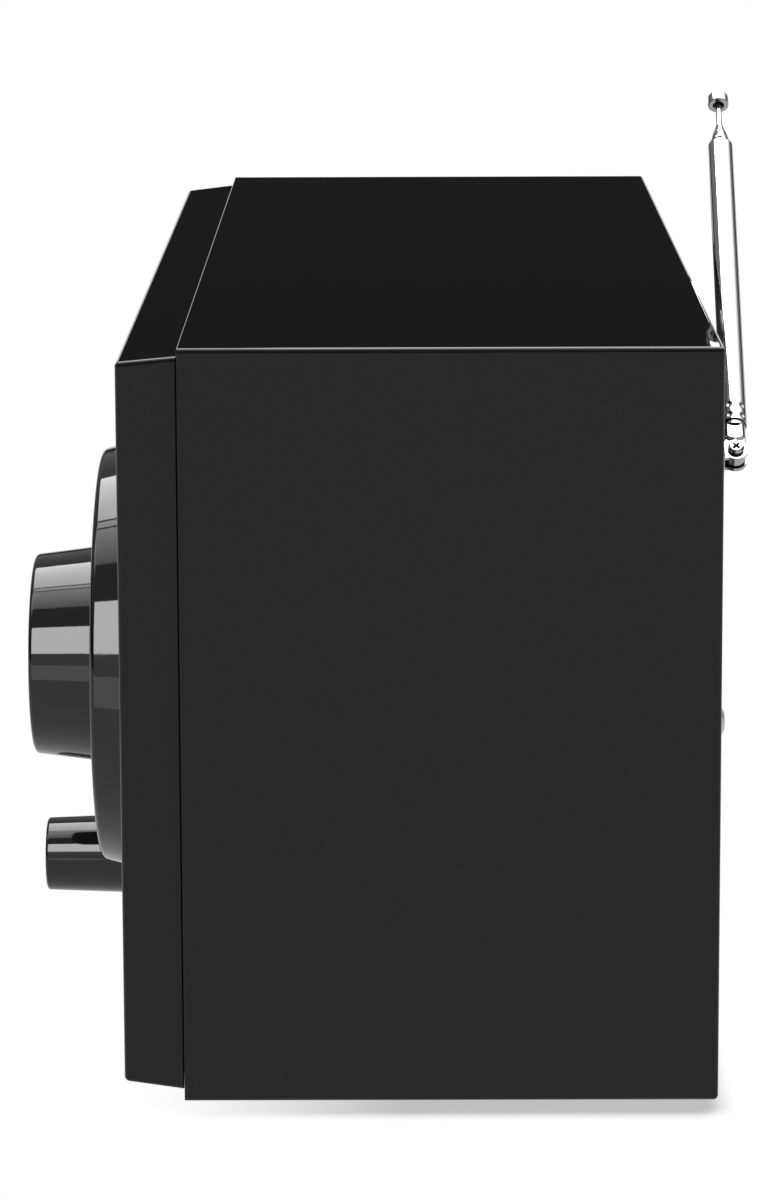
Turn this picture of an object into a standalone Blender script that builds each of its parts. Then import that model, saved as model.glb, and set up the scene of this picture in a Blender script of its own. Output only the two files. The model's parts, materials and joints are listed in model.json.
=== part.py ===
"""A gloss black wooden radio: cabinet, dial drive, loudspeaker, battery box and telescopic aerial.

Everything hangs from one empty. Before that empty's shift, X is 0 in the middle of the cabinet,
Y is 0 where the front panel meets the cabinet and grows towards the back, and Z is 0 at the floor.
"""

import math

import bmesh
import bpy
from mathutils import Matrix, Vector

MM = 0.001
GAP = 0.3 * MM

# Cabinet
CABINET_WIDTH = 266 * MM
CABINET_HEIGHT = 140 * MM
CABINET_DEPTH = 98 * MM
WALL = 10 * MM
EDGE_RADIUS = 0.9 * MM
FOOT_HEIGHT = 2.5 * MM
FOOT_RADIUS = 6 * MM
FOOT_INSET = 17 * MM

# Front panel: a shallow truncated pyramid with a plug that locates it in the cabinet
PANEL_THICKNESS = 11.2 * MM
PANEL_SHADOW_GAP = 0.5 * MM
PANEL_INSET_BACK = 1.6 * MM
PANEL_INSET_FRONT = 2.8 * MM
PLUG_DEPTH = 3 * MM

# Rear panel, sunk in a rebate
REAR_LIP = 3 * MM
REAR_THICKNESS = 3 * MM
REAR_RECESS = 0.8 * MM

# Dial and tuning knob, heights measured ahead of the front panel's face
DIAL_X = 72.4 * MM
DIAL_Z = FOOT_HEIGHT + 70.5 * MM
BEZEL_RADIUS_BASE = 41.5 * MM
BEZEL_RADIUS_FRONT = 39.8 * MM
BEZEL_HEIGHT = 6.8 * MM
BEZEL_FILLET = 1.4 * MM
BEZEL_SEAT_RADIUS = 37.6 * MM
BEZEL_BORE_RADIUS = 36 * MM
LENS_BACK = 4.7 * MM
KNOB_BACK = 7.8 * MM
KNOB_FRONT = 20 * MM
KNOB_RADIUS_BASE = 20.9 * MM
KNOB_RADIUS_FRONT = 19.35 * MM
KNOB_FILLET = 1.0 * MM
SHAFT_RADIUS = 3 * MM

# Tuning drive: a pinion on the knob's shaft turns the gear of the tuning capacitor below it
GEAR_MODULE = 1 * MM
PINION_TEETH = 16
CAPACITOR_TEETH = 24
GEAR_BACKLASH = 0.14 * MM
GEAR_FRONT_Y = 5.6 * MM
GEAR_WIDTH = 4 * MM
CAPACITOR_Z = DIAL_Z - GEAR_MODULE * (PINION_TEETH + CAPACITOR_TEETH) / 2
BRACKET_Y = 12 * MM
ROTOR_RADIUS = 12.6 * MM
ROTOR_SHAFT_RADIUS = 2.5 * MM
PLATE_PITCH = 4.4 * MM
PLATE_THICKNESS = 0.8 * MM
PLATE_COUNT = 4

# Volume control
VOLUME_X = 45 * MM
VOLUME_Z = FOOT_HEIGHT + 22.5 * MM
VOLUME_RADIUS_BASE = 8.05 * MM
VOLUME_RADIUS_FRONT = 7.3 * MM
VOLUME_FRONT = 20.8 * MM

# Loudspeaker, depths measured behind the front panel's plug
SPEAKER_X = -68 * MM
SPEAKER_Z = DIAL_Z
SPEAKER_HOLE_RADIUS = 34 * MM
GRILLE_HOLE_RADIUS = 2.1 * MM
GRILLE_HOLE_PITCH = 9.4 * MM
GRILLE_HOLE_RINGS = 3

# Battery box: four AA cells side by side, upright, behind a door hinged at its lower edge
BATTERY_X = -55 * MM
DOOR_WIDTH = 66 * MM
DOOR_HEIGHT = 58 * MM
DOOR_THICKNESS = 2.4 * MM
DOOR_BOTTOM_Z = FOOT_HEIGHT + 14 * MM
CELL_RADIUS = 7.1 * MM
CELL_LENGTH = 50 * MM
CELL_PITCH = 15.1 * MM
TRAY_WALL = 1.4 * MM
TRAY_DEPTH = 18 * MM

# Rear fittings
SWITCH_X, SWITCH_Z = 24 * MM, FOOT_HEIGHT + 30 * MM
DC_JACK_X, DC_JACK_Z = 60 * MM, FOOT_HEIGHT + 30 * MM
PHONES_X, PHONES_Z = 85 * MM, FOOT_HEIGHT + 30 * MM
SCREW_HEAD_RADIUS = 3 * MM
SCREW_HEAD_HEIGHT = 1.8 * MM
SCREW_RADIUS = 1.5 * MM
SCREW_LENGTH = 11 * MM
SCREW_INSET = 6.5 * MM

# Telescopic aerial: it swivels about Y on its mount, and folds about the fork's cross screw
AERIAL_X = 31 * MM
AERIAL_Z = FOOT_HEIGHT + 101.7 * MM
AERIAL_AXIS_BEHIND = 9.9 * MM
AERIAL_SWIVEL = math.radians(-51)
AERIAL_TILT = math.radians(-0.92)
FORK_GAP = 1.2 * MM
FORK_EAR = 0.8 * MM
FORK_BASE = 3 * MM
EAR_RADIUS = 2.5 * MM
CROSS_BORE = 1.1 * MM
PLUG_TOP = 13.2 * MM
TUBE_BOTTOM = 8 * MM
TUBE_TOP = 88.5 * MM
TUBE_RADII = ((2.68, 2.43), (2.12, 1.82), (1.52, 1.22))
ROD_RADIUS = 0.62 * MM
TIP_BOTTOM = 101 * MM
TIP_HEIGHT = 2.6 * MM
TIP_RADIUS = 2.26 * MM

PANEL_FACE_Y = -PANEL_THICKNESS
REAR_FACE_Y = CABINET_DEPTH - REAR_RECESS
REAR_INNER_Y = REAR_FACE_Y - REAR_THICKNESS
AERIAL_Y = CABINET_DEPTH + AERIAL_AXIS_BEHIND
CABINET_MIDDLE_Z = FOOT_HEIGHT + CABINET_HEIGHT / 2
FRONT_MOST = PANEL_FACE_Y - VOLUME_FRONT
REAR_MOST = AERIAL_Y + (TIP_BOTTOM + TIP_HEIGHT) * math.sin(-AERIAL_TILT) + TIP_RADIUS
CENTRING = Vector((0, -(FRONT_MOST + REAR_MOST) / 2, 0))

TO_FRONT = (math.pi / 2, 0, 0)
TO_REAR = (-math.pi / 2, 0, 0)

FINISHES = {
    "black_lacquer": ((0.012, 0.012, 0.013), 0.05, 0.0),
    "black_plastic": ((0.03, 0.03, 0.03), 0.45, 0.0),
    "gloss_plastic": ((0.015, 0.015, 0.016), 0.08, 0.0),
    "clear_plastic": ((0.9, 0.92, 0.93), 0.03, 0.0),
    "dial_card": ((0.02, 0.02, 0.02), 0.6, 0.0),
    "pointer_red": ((0.6, 0.05, 0.03), 0.4, 0.0),
    "brass": ((0.75, 0.58, 0.28), 0.3, 1.0),
    "zinc_steel": ((0.6, 0.6, 0.58), 0.35, 1.0),
    "chrome": ((0.85, 0.86, 0.88), 0.06, 1.0),
    "aluminium": ((0.78, 0.78, 0.79), 0.35, 1.0),
    "perforated_metal": ((0.02, 0.02, 0.02), 0.4, 0.6),
    "speaker_paper": ((0.05, 0.05, 0.05), 0.85, 0.0),
    "foam_rubber": ((0.02, 0.02, 0.02), 0.9, 0.0),
    "ferrite": ((0.09, 0.085, 0.08), 0.7, 0.0),
    "copper_wire": ((0.72, 0.36, 0.18), 0.4, 1.0),
    "board_green": ((0.03, 0.2, 0.08), 0.5, 0.0),
    "capacitor_sleeve": ((0.05, 0.07, 0.2), 0.35, 0.0),
    "cell_label": ((0.7, 0.45, 0.12), 0.35, 0.3),
    "wire_red": ((0.5, 0.03, 0.02), 0.5, 0.0),
    "foot_rubber": ((0.015, 0.015, 0.015), 0.85, 0.0),
}


def clear_scene():
    for obj in list(bpy.data.objects):
        bpy.data.objects.remove(obj, do_unlink=True)


def make_collection(name, hidden=False):
    collection = bpy.data.collections.new(name)
    bpy.context.scene.collection.children.link(collection)
    collection.hide_render = hidden
    return collection


def finish_material(name):
    """The Principled material of that name, made on its first use."""
    found = bpy.data.materials.get(name)
    if found:
        return found
    colour, roughness, metallic = FINISHES[name]
    made = bpy.data.materials.new(name)
    made.use_nodes = True
    shader = made.node_tree.nodes["Principled BSDF"]
    shader.inputs["Base Color"].default_value = (*colour, 1)
    shader.inputs["Roughness"].default_value = roughness
    shader.inputs["Metallic"].default_value = metallic
    return made


def make_empty(name, location, rotation=(0, 0, 0), parent=None):
    empty = bpy.data.objects.new(name, None)
    empty.location = location
    empty.rotation_euler = rotation
    empty.parent = parent
    PARTS.objects.link(empty)
    return empty


def add_object(name, data, finish, origin=(0, 0, 0), turn=(0, 0, 0), parent=None):
    """Links a part to the radio. With no finish it is a cutter or a piece to be joined."""
    obj = bpy.data.objects.new(name, data)
    obj.parent = parent or RADIO
    obj.location = origin
    obj.rotation_euler = turn
    if finish:
        data.materials.append(finish_material(finish))
        PARTS.objects.link(obj)
    else:
        obj.hide_render = True
        obj.display_type = "WIRE"
        TOOLS.objects.link(obj)
    return obj


def add_box(bm, low, high):
    """A box between two opposite corners. Returns its vertices."""
    size = Vector(high) - Vector(low)
    middle = (Vector(high) + Vector(low)) / 2
    stretch = Matrix.Translation(middle) @ Matrix.Diagonal((*size, 1))
    return bmesh.ops.create_cube(bm, size=1, matrix=stretch)["verts"]


def add_cylinder(bm, radius, start, end, segments=24):
    """A cylinder between two points on its axis."""
    start, end = Vector(start), Vector(end)
    lay = (end - start).to_track_quat("Z", "Y").to_matrix().to_4x4()
    bmesh.ops.create_cone(
        bm,
        cap_ends=True,
        segments=segments,
        radius1=radius,
        radius2=radius,
        depth=(end - start).length,
        matrix=Matrix.Translation((start + end) / 2) @ lay,
    )


def solid(name, finish, bm, origin=(0, 0, 0), turn=(0, 0, 0), parent=None):
    mesh = bpy.data.meshes.new(name)
    bm.to_mesh(mesh)
    bm.free()
    mesh.shade_smooth()
    mesh.set_sharp_from_angle(angle=math.radians(35))
    return add_object(name, mesh, finish, origin, turn, parent)


def box(name, finish, low, high, parent=None):
    bm = bmesh.new()
    add_box(bm, low, high)
    return solid(name, finish, bm, parent=parent)


def boxes(name, spans):
    """One cutter made of separate boxes, each given as its two corners."""
    bm = bmesh.new()
    for low, high in spans:
        add_box(bm, low, high)
    return solid(name, None, bm)


def rods(name, spans, parent=None, segments=16):
    """One cutter made of separate cylinders, each given as radius, start, end."""
    bm = bmesh.new()
    for radius, start, end in spans:
        add_cylinder(bm, radius, start, end, segments)
    return solid(name, None, bm, parent=parent)


def turned(name, finish, profile, origin=(0, 0, 0), turn=(0, 0, 0), parent=None, steps=24, ring=False):
    """A profile of (radius, height) turned about local Z. A ring's profile is a closed loop."""
    mesh = bpy.data.meshes.new(name)
    count = len(profile)
    edges = [(i, (i + 1) % count) for i in range(count if ring else count - 1)]
    mesh.from_pydata([(radius, 0, height) for radius, height in clockwise(profile)], edges, [])
    obj = add_object(name, mesh, finish, origin, turn, parent)
    screw = obj.modifiers.new("turn", "SCREW")
    screw.axis = "Z"
    screw.angle = 2 * math.pi
    screw.steps = screw.render_steps = steps
    screw.use_merge_vertices = True
    screw.merge_threshold = 1e-6
    return obj


def clockwise(profile):
    """The profile in the order that runs down its outer side, so that the turned faces point out."""
    pairs = zip(profile, profile[1:] + profile[:1])
    doubled_area = sum(r1 * z2 - r2 * z1 for (r1, z1), (r2, z2) in pairs)
    return profile if doubled_area < 0 else profile[::-1]


def arc(middle_radius, middle_height, radius, start, end, count=3):
    """Profile points on an arc from one angle to another, in degrees from the radial direction."""
    angles = [math.radians(start + (end - start) * i / count) for i in range(count + 1)]
    return [
        (middle_radius + radius * math.cos(a), middle_height + radius * math.sin(a)) for a in angles
    ]


def boolean(obj, operation, tools):
    for tool in tools:
        modifier = obj.modifiers.new(tool.name, "BOOLEAN")
        modifier.operation = operation
        modifier.solver = "EXACT"
        modifier.object = tool
    return obj


def carve(obj, *tools):
    return boolean(obj, "DIFFERENCE", tools)


def fuse(obj, *tools):
    return boolean(obj, "UNION", tools)


def bevel(obj, width, segments=2):
    modifier = obj.modifiers.new("edges", "BEVEL")
    modifier.width = width
    modifier.segments = segments
    modifier.limit_method = "ANGLE"
    modifier.angle_limit = math.radians(40)
    return obj


def circle_points(radius, count):
    return [
        (radius * math.cos(2 * math.pi * i / count), radius * math.sin(2 * math.pi * i / count))
        for i in range(count)
    ]


def flat_outline(name, finish, outlines, thickness, origin, turn, parent=None):
    """A flat plate from closed outlines. The outlines inside the first one are holes."""
    curve = bpy.data.curves.new(name, "CURVE")
    curve.dimensions = "2D"
    curve.fill_mode = "BOTH"
    curve.extrude = thickness / 2
    for points in outlines:
        spline = curve.splines.new("POLY")
        spline.points.add(len(points) - 1)
        for point, (x, y) in zip(spline.points, points):
            point.co = (x, y, 0, 1)
        spline.use_cyclic_u = True
    return add_object(name, curve, finish, origin, turn, parent)


def involute(angle):
    return math.tan(angle) - angle


def gear_outline(teeth, first_tooth):
    """Involute teeth of 20 degrees, the first centred on the given angle."""
    pressure = math.radians(20)
    pitch = GEAR_MODULE * teeth / 2
    base = pitch * math.cos(pressure)
    root = pitch - 1.15 * GEAR_MODULE
    tip = pitch + 0.9 * GEAR_MODULE
    half_tooth = math.pi / (2 * teeth) - GEAR_BACKLASH / (2 * pitch) + involute(pressure)
    flank = [root, base, pitch, tip]
    spread = [half_tooth - involute(math.acos(min(1, base / radius))) for radius in flank]
    points = []
    for tooth in range(teeth):
        middle = first_tooth + 2 * math.pi * tooth / teeth
        rising = [(radius, middle - half) for radius, half in zip(flank, spread)]
        falling = [(radius, middle + half) for radius, half in zip(flank, spread)][::-1]
        points += [(r * math.cos(a), r * math.sin(a)) for r, a in rising + falling]
    return points


def make_cabinet():
    half_width = CABINET_WIDTH / 2
    top = FOOT_HEIGHT + CABINET_HEIGHT
    cabinet = box(
        "cabinet_shell",
        "black_lacquer",
        (-half_width, 0, FOOT_HEIGHT),
        (half_width, CABINET_DEPTH, top),
    )
    bevel(cabinet, EDGE_RADIUS)
    past = 5 * MM
    rebate_y = REAR_INNER_Y - GAP
    hollow = boxes(
        "cabinet_hollow",
        [
            (
                (-half_width + WALL, -past, FOOT_HEIGHT + WALL),
                (half_width - WALL, CABINET_DEPTH + past, top - WALL),
            )
        ],
    )
    rebate = boxes(
        "cabinet_rebate",
        [
            (
                (-half_width + REAR_LIP, rebate_y, FOOT_HEIGHT + REAR_LIP),
                (half_width - REAR_LIP, CABINET_DEPTH + past, top - REAR_LIP),
            )
        ],
    )
    screw_end = REAR_FACE_Y - SCREW_LENGTH - 2 * GAP
    pilots = rods(
        "cabinet_pilots",
        [(SCREW_RADIUS + GAP, (x, screw_end, z), (x, CABINET_DEPTH, z)) for x, z in rear_screw_places()],
    )
    carve(cabinet, hollow, rebate, pilots)
    for index, (side, depth) in enumerate(((-1, 0), (1, 0), (-1, 1), (1, 1)), start=1):
        y = FOOT_INSET + depth * (CABINET_DEPTH - 2 * FOOT_INSET)
        profile = [
            (0, FOOT_HEIGHT - GAP),
            (FOOT_RADIUS, FOOT_HEIGHT - GAP),
            (FOOT_RADIUS, 0.6 * MM),
            (FOOT_RADIUS - 0.6 * MM, 0),
            (0, 0),
        ]
        place = (side * (half_width - FOOT_INSET), y, 0)
        turned(f"foot_{index}", "foot_rubber", profile, place, steps=16)


def rear_screw_places():
    """(x, z) of the rear panel's screws: one in the middle of each side."""
    reach_x = CABINET_WIDTH / 2 - SCREW_INSET
    reach_z = CABINET_HEIGHT / 2 - SCREW_INSET
    return [
        (reach_x, CABINET_MIDDLE_Z),
        (-reach_x, CABINET_MIDDLE_Z),
        (0, CABINET_MIDDLE_Z + reach_z),
        (0, CABINET_MIDDLE_Z - reach_z),
    ]


def make_front_panel():
    half_width = CABINET_WIDTH / 2 - PANEL_INSET_BACK
    half_height = CABINET_HEIGHT / 2 - PANEL_INSET_BACK
    bm = bmesh.new()
    corners = add_box(
        bm,
        (-half_width, PANEL_FACE_Y, CABINET_MIDDLE_Z - half_height),
        (half_width, -PANEL_SHADOW_GAP, CABINET_MIDDLE_Z + half_height),
    )
    taper = PANEL_INSET_FRONT - PANEL_INSET_BACK
    middle = (PANEL_FACE_Y - PANEL_SHADOW_GAP) / 2
    for corner in corners:
        if corner.co.y < middle:
            corner.co.x -= math.copysign(taper, corner.co.x)
            corner.co.z -= math.copysign(taper, corner.co.z - CABINET_MIDDLE_Z)
    panel = bevel(solid("front_panel", "black_lacquer", bm), EDGE_RADIUS)
    plug_x = CABINET_WIDTH / 2 - WALL - GAP
    plug_z = CABINET_HEIGHT / 2 - WALL - GAP
    plug = boxes(
        "panel_plug",
        [
            (
                (-plug_x, -2 * MM, CABINET_MIDDLE_Z - plug_z),
                (plug_x, PLUG_DEPTH, CABINET_MIDDLE_Z + plug_z),
            )
        ],
    )
    fuse(panel, plug)
    front, back = PANEL_FACE_Y - 5 * MM, PLUG_DEPTH + 5 * MM
    holes = rods(
        "panel_holes",
        [
            (4.1 * MM, (DIAL_X, front, DIAL_Z), (DIAL_X, back, DIAL_Z)),
            (4.5 * MM, (VOLUME_X, front, VOLUME_Z), (VOLUME_X, back, VOLUME_Z)),
        ],
    )
    speaker_hole = rods(
        "panel_speaker_hole",
        [(SPEAKER_HOLE_RADIUS, (SPEAKER_X, front, SPEAKER_Z), (SPEAKER_X, back, SPEAKER_Z))],
        segments=40,
    )
    carve(panel, holes, speaker_hole)


def make_rear_panel():
    half_width = CABINET_WIDTH / 2 - REAR_LIP - GAP
    half_height = CABINET_HEIGHT / 2 - REAR_LIP - GAP
    panel = box(
        "rear_panel",
        "black_plastic",
        (-half_width, REAR_INNER_Y, CABINET_MIDDLE_Z - half_height),
        (half_width, REAR_FACE_Y, CABINET_MIDDLE_Z + half_height),
    )
    front, back = REAR_INNER_Y - 5 * MM, REAR_FACE_Y + 5 * MM
    round_holes = [(SCREW_RADIUS + GAP, x, z) for x, z in rear_screw_places()]
    round_holes += [
        (2.6 * MM, AERIAL_X, AERIAL_Z),
        (6.3 * MM, DC_JACK_X, DC_JACK_Z),
        (4.3 * MM, PHONES_X, PHONES_Z),
    ]
    holes = rods("rear_holes", [(radius, (x, front, z), (x, back, z)) for radius, x, z in round_holes])
    slot_half = (7.5 * MM, 2.3 * MM)
    openings = [
        (
            (BATTERY_X - DOOR_WIDTH / 2 - GAP, front, DOOR_BOTTOM_Z - GAP),
            (BATTERY_X + DOOR_WIDTH / 2 + GAP, back, DOOR_BOTTOM_Z + DOOR_HEIGHT + GAP),
        ),
        (
            (SWITCH_X - slot_half[0], front, SWITCH_Z - slot_half[1]),
            (SWITCH_X + slot_half[0], back, SWITCH_Z + slot_half[1]),
        ),
    ]
    for vent in range(7):
        x = SPEAKER_X + (vent - 3) * 7.5 * MM
        openings.append(((x - 1.2 * MM, front, 100 * MM), (x + 1.2 * MM, back, 124 * MM)))
    carve(panel, holes, boxes("rear_openings", openings))
    head = [
        (0, SCREW_HEAD_HEIGHT),
        (1.2 * MM, SCREW_HEAD_HEIGHT - 0.08 * MM),
        (2.2 * MM, SCREW_HEAD_HEIGHT - 0.4 * MM),
        (SCREW_HEAD_RADIUS, 0.8 * MM),
        (SCREW_HEAD_RADIUS, 0.1 * MM),
        (SCREW_RADIUS, 0.1 * MM),
        (SCREW_RADIUS, -SCREW_LENGTH + 1.5 * MM),
        (0, -SCREW_LENGTH),
    ]
    for index, (x, z) in enumerate(rear_screw_places(), start=1):
        turned(f"rear_screw_{index}", "zinc_steel", head, (x, REAR_FACE_Y, z), TO_REAR, steps=12)


def make_dial():
    place = (DIAL_X, PANEL_FACE_Y, DIAL_Z)
    front = arc(BEZEL_RADIUS_FRONT - BEZEL_FILLET, BEZEL_HEIGHT - BEZEL_FILLET, BEZEL_FILLET, 90, 8)
    bezel = (
        [(BEZEL_SEAT_RADIUS, BEZEL_HEIGHT)]
        + front
        + [
            (BEZEL_RADIUS_BASE, GAP),
            (BEZEL_BORE_RADIUS, GAP),
            (BEZEL_BORE_RADIUS, LENS_BACK - GAP),
            (BEZEL_SEAT_RADIUS, LENS_BACK - GAP),
        ]
    )
    turned("dial_bezel", "gloss_plastic", bezel, place, TO_FRONT, steps=48, ring=True)
    scale = [(35.7, 1.1), (35.7, 0.3), (5, 0.3), (5, 1.1)]
    turned("dial_scale", "dial_card", in_mm(scale), place, TO_FRONT, steps=36, ring=True)
    lens = [(4.2, 7.2), (22, 7.08), (37.3, 6.6), (37.3, 4.7), (4.2, 4.7)]
    turned("dial_lens", "clear_plastic", in_mm(lens), place, TO_FRONT, steps=40, ring=True)
    bush = [(3.8, -0.1), (3.8, -14.5), (6, -14.5), (6, -16), (3.2, -16), (3.2, -0.1)]
    turned("tuning_bush", "brass", in_mm(bush), place, TO_FRONT, ring=True)


def in_mm(profile):
    return [(radius * MM, height * MM) for radius, height in profile]


def knob_profile(base, front, back_height, front_height, fillet, dome, core):
    """Outer skin of a tapered knob from the middle of its face to its rim, then the core's points."""
    rim = front_height - dome
    skin = [(0, front_height), (0.5 * front, front_height - 0.3 * dome)]
    skin += arc(front - fillet, rim - fillet, fillet, 90, 4)
    return skin + [(base, back_height)] + core


def make_tuning_drive():
    axis = make_empty("tuning_axis", (DIAL_X, PANEL_FACE_Y, DIAL_Z), parent=RADIO)
    shaft = [(0, 17), (3, 17), (3, -24.8), (0, -24.8)]
    turned("tuning_shaft", "zinc_steel", in_mm(shaft), turn=TO_FRONT, parent=axis)
    core = [(19.2, 7.8), (17.9, 16.2), (5.8, 16.2), (5.8, 8.4), (3.3, 8.4), (3.3, 17.4), (0, 17.4)]
    knob = knob_profile(
        KNOB_RADIUS_BASE,
        KNOB_RADIUS_FRONT,
        KNOB_BACK,
        KNOB_FRONT,
        KNOB_FILLET,
        0.3 * MM,
        in_mm(core),
    )
    turned("tuning_knob", "gloss_plastic", knob, turn=TO_FRONT, parent=axis, steps=40)
    hub = [(7, 3), (7, 2.2), (3.3, 2.2), (3.3, 3)]
    pointer = turned("dial_pointer", "pointer_red", in_mm(hub), turn=TO_FRONT, parent=axis, ring=True)
    bm = bmesh.new()
    add_box(bm, (-0.5 * MM, -2.9 * MM, 5 * MM), (0.5 * MM, -2.3 * MM, 33.5 * MM))
    fuse(pointer, solid("pointer_needle", None, bm, parent=axis))
    middle_y = GEAR_FRONT_Y + GEAR_WIDTH / 2 - PANEL_FACE_Y
    outlines = [gear_outline(PINION_TEETH, -math.pi / 2), circle_points(SHAFT_RADIUS + GAP, 16)]
    flat_outline("drive_gear", "brass", outlines, GEAR_WIDTH, (0, middle_y, 0), TO_FRONT, axis)


def make_tuning_capacitor():
    x, z = DIAL_X, CAPACITOR_Z
    frame_x, frame_low, frame_high = 15.5 * MM, z - 18 * MM, z + 16 * MM
    flange = 24 * MM
    low, high = frame_low, DIAL_Z + 14 * MM
    bracket = box(
        "tuner_bracket",
        "zinc_steel",
        (x - flange, BRACKET_Y, low),
        (x + flange, BRACKET_Y + 1.2 * MM, high),
    )
    half_sheet = 0.6 * MM
    sides = boxes(
        "bracket_flanges",
        [
            ((edge - half_sheet, PLUG_DEPTH + GAP, low), (edge + half_sheet, BRACKET_Y + 1 * MM, high))
            for edge in (x - flange, x + flange)
        ],
    )
    bore = rods(
        "bracket_bores",
        [
            (SHAFT_RADIUS + GAP, (x, 0, DIAL_Z), (x, 30 * MM, DIAL_Z)),
            (ROTOR_SHAFT_RADIUS + GAP, (x, 0, z), (x, 30 * MM, z)),
        ],
    )
    carve(fuse(bracket, sides), bore)

    front_y, rear_y = BRACKET_Y + 1.5 * MM, 36 * MM
    frame = box(
        "capacitor_frame",
        "aluminium",
        (x - frame_x, front_y, frame_low),
        (x + frame_x, rear_y, frame_high),
    )
    sheet = 1.2 * MM
    inside = boxes(
        "frame_inside",
        [
            (
                (x - 20 * MM, front_y + sheet, frame_low + sheet),
                (x + 20 * MM, rear_y - sheet, frame_high + 5 * MM),
            )
        ],
    )
    frame_bore = rods("frame_bore", [(ROTOR_SHAFT_RADIUS + GAP, (x, 0, z), (x, 50 * MM, z))])
    carve(frame, inside, frame_bore)

    axis = make_empty("capacitor_axis", (x, 0, z), parent=RADIO)
    middle_y = GEAR_FRONT_Y + GEAR_WIDTH / 2
    half_pitch = math.pi / CAPACITOR_TEETH
    outlines = [
        gear_outline(CAPACITOR_TEETH, math.pi / 2 + half_pitch),
        circle_points(ROTOR_SHAFT_RADIUS + GAP, 16),
    ]
    flat_outline("capacitor_gear", "brass", outlines, GEAR_WIDTH, (0, middle_y, 0), TO_FRONT, axis)
    bm = bmesh.new()
    add_cylinder(bm, ROTOR_SHAFT_RADIUS, (0, 4.6 * MM, 0), (0, rear_y - 0.4 * MM, 0))
    rotor = solid("capacitor_rotor", "aluminium", bm, parent=axis)
    bm = bmesh.new()
    add_box(bm, (-14.8 * MM, 15.2 * MM, -7 * MM), (-13.4 * MM, 34.5 * MM, 7 * MM))
    stator = solid("capacitor_stator", "aluminium", bm, (x, 0, z))
    for plate in range(PLATE_COUNT):
        rotor_y = 17 * MM + plate * PLATE_PITCH
        fuse(rotor, half_disc(f"rotor_plate_{plate}", ROTOR_RADIUS, rotor_y, (0, 0, -1), axis))
        stator_y = rotor_y + PLATE_PITCH / 2
        blade = half_disc(f"stator_plate_{plate}", 14.2 * MM, stator_y, (1, 0, 0), stator)
        fuse(stator, blade)
    bm = bmesh.new()
    add_cylinder(bm, 4 * MM, (0, 0, 0), (0, 50 * MM, 0))
    carve(stator, solid("stator_bore", None, bm, parent=stator))


def half_disc(name, radius, y, away, parent):
    """Half a disc, normal to Y, on the side that faces away from the given direction."""
    bm = bmesh.new()
    add_cylinder(bm, radius, (0, y, 0), (0, y + PLATE_THICKNESS, 0))
    everything = bm.verts[:] + bm.edges[:] + bm.faces[:]
    cut = bmesh.ops.bisect_plane(bm, geom=everything, plane_co=(0, 0, 0), plane_no=away, clear_outer=True)
    rim = [piece for piece in cut["geom_cut"] if isinstance(piece, bmesh.types.BMEdge)]
    bmesh.ops.contextual_create(bm, geom=rim)
    bmesh.ops.recalc_face_normals(bm, faces=bm.faces[:])
    return solid(name, None, bm, parent=parent)


def make_volume_control():
    pot_place = (VOLUME_X, PLUG_DEPTH, VOLUME_Z)
    body = [(0, 10.3), (8, 10.3), (8, 0.3), (4.2, 0.3), (4.2, -13.6), (3.2, -13.6), (3.2, 8), (0, 8)]
    turned("volume_pot", "zinc_steel", in_mm(body), pot_place, TO_REAR)
    axis = make_empty("volume_axis", (VOLUME_X, PANEL_FACE_Y, VOLUME_Z), parent=RADIO)
    shaft = [(0, 16), (3, 16), (3, -21.8), (0, -21.8)]
    turned("volume_shaft", "aluminium", in_mm(shaft), turn=TO_FRONT, parent=axis)
    core = [(6.4, 0.6), (5.6, 2), (3.3, 2), (3.3, 16.4), (0, 16.4)]
    knob = knob_profile(
        VOLUME_RADIUS_BASE,
        VOLUME_RADIUS_FRONT,
        0.6 * MM,
        VOLUME_FRONT,
        0.7 * MM,
        0.2 * MM,
        in_mm(core),
    )
    turned("volume_knob", "gloss_plastic", knob, turn=TO_FRONT, parent=axis, steps=32)


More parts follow.
